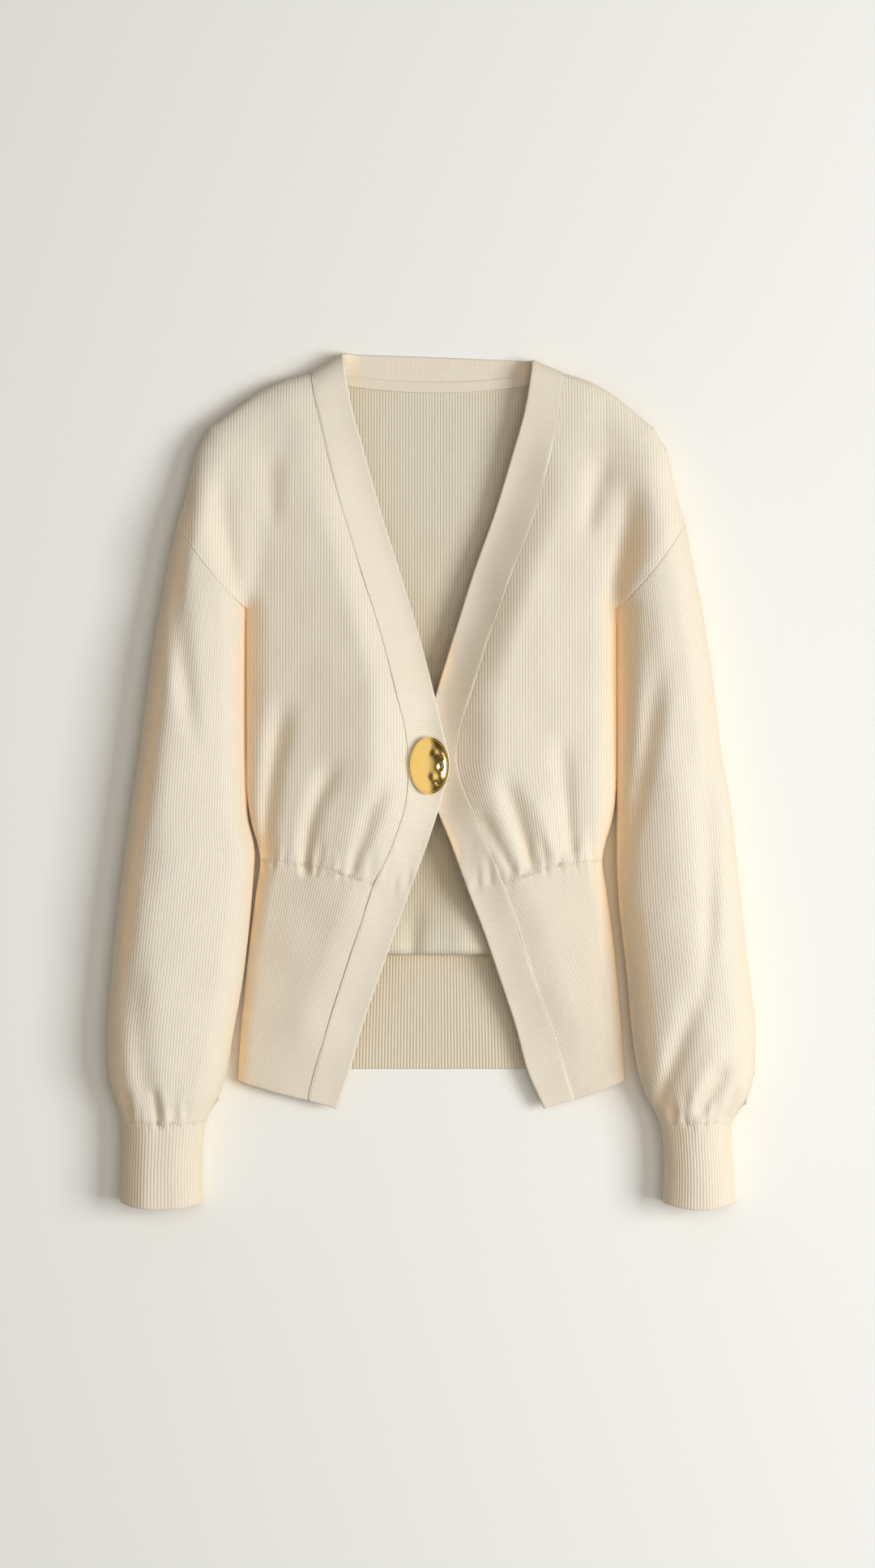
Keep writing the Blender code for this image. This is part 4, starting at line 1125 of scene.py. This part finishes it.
def grid_normals(points):
    """Normals of a grid from its own slopes, on the side that faces down on a sheet laid flat."""
    along = np.gradient(points, axis=0)
    across = np.gradient(points, axis=1)
    normal = np.cross(along, across)
    return normal / np.maximum(np.linalg.norm(normal, axis=-1, keepdims=True), 1e-9)


BACK_FOLDS = table(
    FOLD_COLUMNS,
    (RIGHT, 13, -78, 17, -150, 0, 9, -4.5, 1.0),
    (RIGHT, 58, -90, 62, -150, 2, 11, -3.0, 1.0),
    (LEFT, 20, -86, 24, -150, 0, 12, 1.5, 1.0),
    (LEFT, 44, -84, 50, -150, -2, 8, -3.0, 1.0),
    (LEFT, 84, -70, 92, -140, 0, 10, -3.0, 1.0),
    (RIGHT, 96, -70, 104, -140, 0, 10, -3.0, 1.0))


def add_back(material):
    """Back of the body: flat on the table, blousing up at its lower end and tucked in under itself."""
    share = back_share(BODY_SPACED_Y, lambda length: spread(length, 2.6))[None, :]
    rows = (spread(BACK_LENGTH, 2.7, 1.0)[4:] / BACK_LENGTH)[:, None]
    rows = (rows - rows[0]) / (rows[-1] - rows[0])
    low, high = blouse_end(share), back_top(share)
    fold = ease((0.97 - np.abs(share)) / 0.22)
    radius = mix(0.3, BLOUSE_RADIUS, fold)
    y = mix(low + radius, high, rows)
    x = share * np.where(share < 0, body_edge(RIGHT, y), body_edge(LEFT, y))
    middle, normals = middle_surface(under_surface, x, y, BODY_WALL)
    from_fold = y - y[0]
    ground = middle[:1, :, 2]
    rest = mix(ground, RIB_WALL + 0.3 + BODY_WALL / 2, fold)
    raised = fold * (rest + 2 * radius - ground)
    folds = fold_height(x, y, BACK_FOLDS)
    middle[:, :, 2] += (raised + folds * fold) * (1 - ease(from_fold / 62))
    top = middle[0]
    turn = np.linspace(0, np.pi, BLOUSE_TURNS + 1)[1:, None]
    tuck = np.array(BLOUSE_TUCK_STEPS)[:, None] * mix(0.4, BLOUSE_TUCK, fold)
    depth = (top[None, :, 2] - rest) / 2
    curl = np.stack((top[None, :, 0] + 0 * turn, top[None, :, 1] - radius * np.sin(turn),
                     rest + depth * (1 + np.cos(turn))), axis=-1)
    inside = np.stack((top[None, :, 0] + 0 * tuck, top[None, :, 1] + tuck, rest + 0 * tuck), axis=-1)
    whole = np.concatenate((inside[::-1], curl[::-1], middle))
    extra = len(inside) + len(curl)
    base_normals = np.concatenate((np.repeat(normals[:1], extra, axis=0), normals))
    weight = fold[..., None] * np.ones((len(whole), 1, 1))
    bent = grid_normals(whole)
    normals = mix(base_normals, bent, weight)
    normals /= np.linalg.norm(normals, axis=-1, keepdims=True)
    run = edge_distances(whole, 0)[0]
    shell = (whole, normals, BODY_WALL, Edges(), knit_map(whole[..., 0] / WALE, run))
    return add_cloth("back", material, shell)


def add_back_waistband(material, ribs):
    """Back waistband: flat on the table, its upper edge under the blousing back."""
    share = back_share(BACK_BAND_SPACED_Y, lambda length: rib_spread(length, BACK_RIBS))
    rib = np.interp(share, (-1, 0, 1), (0, BACK_RIBS / 2, BACK_RIBS))
    under = ease((0.8 - np.abs(share[None, :])) / 0.2) * WAISTBAND_UNDERLAP
    high = blouse_end(share[None, :]) + under
    low = mix(BACK_HEM_Y, FLAP_ROWS[0].y, np.abs(share[None, :]) ** 6)
    rows = spread(BACK_BAND_LENGTH, 3.2, FREE_ROUND, WAIST_ROUND) / BACK_BAND_LENGTH
    y = mix(low, high, rows[:, None])
    shell = (*middle_surface(under_surface, share[None, :] * body_side(y), y, RIB_BASE, RIB_SUNK), RIB_BASE,
             Edges(FREE_ROUND, WAIST_ROUND), knit_map(rib, y))
    return add_cloth("waistband_back", material, shell, ribs=(ribs, 0.4))


def neckband_grid(t, u):
    """Plan of the back neckband: t along it from the wearer's right, u from its seam to its free edge."""
    ends = {}
    for side in (RIGHT, LEFT):
        top = NECK_POINT_Y + band_slant[side](NECK_POINT_Y)
        ends[side] = (band_seam[side](NECK_POINT_Y), band_free[side](top), top)
    seam_x = mix(ends[RIGHT][0], ends[LEFT][0], t)
    free_x = mix(ends[RIGHT][1], ends[LEFT][1], t)
    free_y = mix(ends[RIGHT][2], ends[LEFT][2], t) - (ends[LEFT][2] + 3.0 - NECK_FREE_Y) * np.sin(np.pi * t)
    seam_y = neck_seam(seam_x)
    return mix(seam_x, free_x, u), mix(seam_y, free_y, u)


def add_neckband(material):
    along = spread(NECKBAND_LENGTH, 2.2)[:, None] / NECKBAND_LENGTH
    across = spread(NECKBAND_DEPTH, 1.6, SEAM_ROUND, FREE_ROUND)[None, :] / NECKBAND_DEPTH
    x, y = neckband_grid(along, across)
    shell = (*middle_surface(under_surface, x, y, RIB_WALL), RIB_WALL, Edges(last_column=FREE_ROUND),
             knit_map(x / NECKBAND_RIB, y))
    return add_cloth("neckband_back", material, shell)


def add_tape(material):
    """Narrow tape inside the back neck, over the seam of the neckband."""
    along = np.linspace(-1, 1, 90)
    across = spread(2 * TAPE_HALF_WIDTH, 1.3, TAPE_ROUND, TAPE_ROUND) - TAPE_HALF_WIDTH
    x = NECK_MIDDLE_X + TAPE_REACH * along[:, None] + 0 * across[None, :]
    y = neck_seam(x) + across[None, :]
    shell = (*middle_surface(under_surface, x, y, TAPE_WALL, -RIB_WALL - TAPE_GAP), TAPE_WALL,
             Edges(*[TAPE_ROUND] * 4), knit_map(x / TAPE_RIB, y))
    return add_cloth("neck_tape", material, shell, made="woven_")


# ---------------------------------------------------------------- button
DENTS = table(                 # hammered hollows, from the button's middle
    "x y size depth",
    (-8.5, 1.5, 2.6, 0.9), (4.5, 11.0, 3.4, 0.8), (3.0, -9.5, 3.2, 0.9), (9.0, -1.0, 2.4, 0.7),
    (-3.5, 13.5, 4.5, 0.5), (-5.5, -12.0, 4.0, 0.5), (8.5, 7.0, 3.0, 0.6), (7.0, -14.0, 3.0, 0.6))
LIP = table(                   # the button's underside and lip: shares of its reach, heights over its base
    "share height",
    (0.5, 0), (0.94, 0), (0.985, 0.35), (1.0, 0.9), (0.995, 1.5), (0.975, 1.95), (0.95, 2.05))
DOME_RINGS = 44
DOME_RISE = 5.3
BUTTON_SIDES = 96
BUTTON_CLEAR = 0.3
SHANK_RADIUS = 2.5
SHANK_CLEAR = 1.5


def band_height(side, x, y):
    points, normals = top_surface(np.asarray(x, float), np.asarray(y, float), lifted=side == RIGHT)
    return (points + normals * BAND_PROUD)[..., 2]


def add_button(material):
    """Oval domed button with a thin lip and hammered hollows, and its shank down to the left band."""
    angle = np.linspace(0, 2 * np.pi, BUTTON_SIDES, endpoint=False)
    cos, sin = np.cos(angle), np.sin(angle)
    base = BUTTON_CLEAR + band_height(RIGHT, BUTTON_X + np.outer((0, 0.5, 1), BUTTON_HALF_WIDTH * cos),
                                      BUTTON_Y + np.outer((0, 0.5, 1), BUTTON_HALF_HEIGHT * sin)).max()
    foot = SHANK_CLEAR + band_height(LEFT, BUTTON_X + SHANK_RADIUS * cos,
                                     BUTTON_Y + SHANK_RADIUS * sin).max()
    shank = SHANK_RADIUS / BUTTON_HALF_WIDTH
    rings = [(0.02, foot), (shank, foot), (shank, base)]
    rings += [(ring.share, base + ring.height) for ring in LIP]
    rings += [(share, base + 2.0 + DOME_RISE * math.sqrt(max(0.0, 1 - (share / 0.97) ** 2)))
              for share in np.linspace(0.93, 0.02, DOME_RINGS)]
    part, z = np.array(rings).T[:, :, None]
    ring = np.arange(len(rings))[:, None]
    grid_x = part * (BUTTON_HALF_WIDTH * cos)
    grid_y = part * (np.where(ring < 3, BUTTON_HALF_WIDTH, BUTTON_HALF_HEIGHT) * sin)
    grid_z = z + 0 * grid_x
    domed = (ring > 9) * ease((1 - part) / 0.12)
    for dent in DENTS:
        near = ((grid_x - dent.x) ** 2 + (grid_y - dent.y) ** 2) / dent.size ** 2
        grid_z = grid_z - domed * dent.depth * np.exp(-near)
    vertices = np.stack((BUTTON_X + grid_x, BUTTON_Y + grid_y, grid_z), axis=-1).reshape(-1, 3) * MM
    index = np.arange(len(vertices)).reshape(len(rings), BUTTON_SIDES)
    faces = quads(np.concatenate((index, index[:, :1]), axis=1)).tolist()
    faces += [index[0].tolist(), index[-1, ::-1].tolist()]
    mesh = bpy.data.meshes.new("gold_button")
    mesh.from_pydata(vertices.tolist(), [], faces)
    return dress(new_object("gold_button", smooth_solid(mesh)), material, "button")


# ---------------------------------------------------------------- seams
Seam = namedtuple("Seam", "raise_by pitch size slant")
ACROSS = math.pi / 2           # slant of a stitch that lies across its seam
BAND_STITCH = Seam(BAND_PROUD - 0.30, 1.9, (2.3, 1.25, 0.8), 0.2)
ARMHOLE_STITCH = Seam(0.05, 2.2, (1.8, 0.6, 0.45), 0.3)
WAIST_LINK = Seam(-0.3, 2.1, (5.0, 1.5, 0.8), ACROSS)
CUFF_LINK = Seam(-0.3, 2.3, (5.4, 1.7, 0.9), ACROSS)
SHOULDER_LINK = Seam(-0.45, 1.9, (4.2, 2.0, 1.3), ACROSS)


def sew(name, x, y, seam, tree, material, lifted=False):
    """A row of stitches along a line of the upper cloth."""
    points, normals = top_surface(x, y, lifted)
    points = points + normals * seam.raise_by
    run = lengths_of(points)
    at = np.arange(seam.pitch / 2, run[-1], seam.pitch)
    place, up = (np.stack([np.interp(at, run, line[:, k]) for k in range(3)], axis=-1)
                 for line in (points, normals))
    up /= np.linalg.norm(up, axis=1)[:, None]
    ahead = np.gradient(place, axis=0)
    ahead /= np.linalg.norm(ahead, axis=1)[:, None]
    mesh = bpy.data.meshes.new(name)
    mesh.from_pydata((place * MM).tolist(), [], [])
    write_values(mesh, "up", up, "FLOAT_VECTOR", "vector")
    write_values(mesh, "along", ahead * math.cos(seam.slant) + np.cross(up, ahead) * math.sin(seam.slant),
                 "FLOAT_VECTOR", "vector")
    piece = grow(tree, new_object(name, mesh), **{
        "Stitch size": [part * MM for part in seam.size], "Material": material})
    dress(piece, material)


def add_seams(tree, thread, linking):
    for side, word in WORD.items():
        lifted = side == RIGHT
        heights = np.linspace(FLAP_ROWS[0].seam + 2, BODY_ROWS[-1].seam - 3, 320)
        x, y = band_plan(side, heights, (-0.004,))
        sew("stitches_band_" + word, x[:, 0], y[:, 0], BAND_STITCH._replace(slant=BAND_STITCH.slant * side),
            tree, thread, lifted)
        y = np.linspace(SHOULDER_DROP_Y - 1, ARMPIT_Y + 1, 60)
        sew("stitches_armhole_" + word, side * (armhole_x(side, y) - 1.2), y + 0.8, ARMHOLE_STITCH,
            tree, thread)
        x, y = front_plan(side, BODY_ROWS, (BODY_ROWS[0].y,), np.linspace(0.01, 0.985, 90))
        sew("linked_waist_" + word, x[0], y[0], WAIST_LINK, tree, linking, lifted)
        x = side * np.linspace(sleeve_inner[side](CUFF_SEAM_Y) + 2, sleeve_outer[side](CUFF_SEAM_Y) - 2, 60)
        sew("linked_cuff_" + word, x, CUFF_SEAM_Y + 0 * x, CUFF_LINK, tree, linking)
        drop_y = np.linspace(SHOULDER_DROP_Y, SHOULDER_TIP_Y, 30)[:-1]
        top_x, top_y = front_plan(side, BODY_ROWS, (SHOULDER_TIP_Y,), np.linspace(0, 1, 60))
        sew("linked_shoulder_" + word, np.concatenate((side * shoulder_drop(drop_y), top_x[0])),
            np.concatenate((drop_y, top_y[0])), SHOULDER_LINK, tree, linking)


# ---------------------------------------------------------------- painted shade and bounce light in folds and gaps
CELL = 3.0
MAP_CELLS = (228, 288)
MAP_LOW = np.array((-340.0, -430.0))
SHELTER_DIRECTIONS = 16
SHELTER_REACHES = (3, 6, 9, 13, 18, 25, 34, 46, 62)
HIDDEN_BELOW = 16.0            # cloth this far under the top counts as lining, with no shelter
LEE_SHARE = 0.24               # weight in the painted shade of a slope that faces away from the window
LEE_ALONE = 0.15               # share of it where no other cloth faces the slope
LEE_REACH = 12                 # cells within which other cloth faces it
LEE_STEEPEST = 1.1
LEE_HIGH = 16.0                # height over which cloth counts as facing it, and in full at twice that
STEP_SHARE = 0.4               # weight of cloth on one side only, to cloth on both sides


def read_points(items, field):
    points = np.zeros(3 * len(items), dtype=np.float32)
    items.foreach_get(field, points)
    return points.reshape(-1, 3) / MM


def cells_of(cloud):
    return tuple(((cloud[:, :2] - MAP_LOW) / CELL).astype(int).T)


def blurred(field, axes):
    for axis in axes:
        field = (np.roll(field, 1, axis) + 2 * field + np.roll(field, -1, axis)) / 4
    return field


def painted_shade_map(top):
    """How closed in each cell of a height map is, by cloth around it and by leaning away from the window:
    how much painted shade and bounce light it gets.
    """
    covered = []
    for turn in np.linspace(0, 2 * np.pi, SHELTER_DIRECTIONS, endpoint=False):
        steepest = np.zeros_like(top)
        for reach in SHELTER_REACHES:
            step = (round(reach * math.cos(turn) / CELL), round(reach * math.sin(turn) / CELL))
            beyond = np.roll(top, (-step[0], -step[1]), (0, 1))
            steepest = np.maximum(steepest, (beyond - top) / (CELL * math.hypot(*step)))
        covered.append(steepest ** 2 / (1 + steepest ** 2))
    ahead, behind = np.array(covered).reshape(2, SHELTER_DIRECTIONS // 2, *top.shape)
    closed = (STEP_SHARE * (ahead + behind) / 2 + (1 - STEP_SHARE) * np.minimum(ahead, behind)).mean(axis=0)
    soft = blurred(top, (0, 1, 0, 1))
    lee = np.clip((np.roll(soft, -1, 0) - np.roll(soft, 1, 0)) / (2 * CELL), 0, LEE_STEEPEST)
    faced = np.max([np.roll(soft, step, 0) for step in range(2, LEE_REACH)], axis=0)
    closed = closed + LEE_SHARE * lee * (LEE_ALONE + (1 - LEE_ALONE) * ease((faced - LEE_HIGH) / LEE_HIGH))
    return blurred(closed, (0, 1))


def read_map(field, cloud):
    """Value of a map at points, smooth between its cells."""
    place = np.clip((cloud[:, :2] - MAP_LOW) / CELL - 0.5, 0, np.array(field.shape) - 2.0)
    corner = np.floor(place).astype(int)
    share = place - corner
    value = np.zeros(len(cloud))
    for i in (0, 1):
        for j in (0, 1):
            weight = np.abs(1 - i - share[:, 0]) * np.abs(1 - j - share[:, 1])
            value += weight * field[corner[:, 0] + i, corner[:, 1] + j]
    return value


def add_painted_shade(pieces, table_top):
    """Writes how closed in the cloth and the table are at each point: the amount of painted shade and bounce
    light in their colours.
    """
    clouds = [read_points(piece.data.vertices, "co") for piece in pieces]
    middles = [read_points(piece.data.polygons, "center") for piece in pieces]
    top = np.zeros(MAP_CELLS)
    for cloud in clouds + middles:
        np.maximum.at(top, cells_of(cloud), cloud[:, 2])
    closed = painted_shade_map(top)
    for piece, cloud in zip(pieces, clouds):
        hidden = cloud[:, 2] < top[cells_of(cloud)] - HIDDEN_BELOW
        write_values(piece.data, "shelter", np.where(hidden, 0.0, read_map(closed, cloud)))
    write_values(table_top.data, "shelter", read_map(closed, read_points(table_top.data.vertices, "co")))


# ---------------------------------------------------------------- the whole cardigan
def build():
    add_camera()
    add_surroundings()
    table_top = add_table()
    group = knit_group()
    body = knit_material("body_knit_cream", group, (0.825, 0.775, 0.665), (0.68, 0.605, 0.485), 0.24)
    rib = knit_material("rib_knit_cream", group, (0.785, 0.72, 0.605), (0.69, 0.615, 0.49), 0.11)
    band = knit_material("band_knit_cream", group, (0.80, 0.745, 0.635), (0.70, 0.63, 0.51), 0.13)
    # the inside knit is darker both for its purl face and as painted shade, for where it lies under the
    # fronts
    body_inside_shaded = knit_material("body_knit_inside_with_painted_shade", group, (0.79, 0.74, 0.61), (0.56, 0.50, 0.38), 0.35,
                                INSIDE_PAINTED_SHADE)
    rib_inside_shaded = knit_material("rib_knit_inside_with_painted_shade", group, (0.76, 0.695, 0.555), (0.55, 0.475, 0.355), 0.2,
                               INSIDE_PAINTED_SHADE)
    gold = gold_material()
    ribs, stitches = rib_tree(), stitch_tree()
    cloth = []
    for side in WORD:
        cloth += [add_front(side, body), add_front_waistband(side, rib, ribs), add_band(side, band),
                  add_sleeve(side, body), add_cuff(side, rib, ribs)]
    cloth += [add_back(body_inside_shaded), add_back_waistband(rib_inside_shaded, ribs),
              add_neckband(band), add_tape(band)]
    add_button(gold)
    thread = thread_material("sewing_thread", (0.76, 0.70, 0.575), (0.90, 0.85, 0.735))
    linking = thread_material("linking_loops", (0.66, 0.59, 0.47), (0.76, 0.70, 0.575))
    add_seams(stitches, thread, linking)
    add_painted_shade(cloth, table_top)


build()
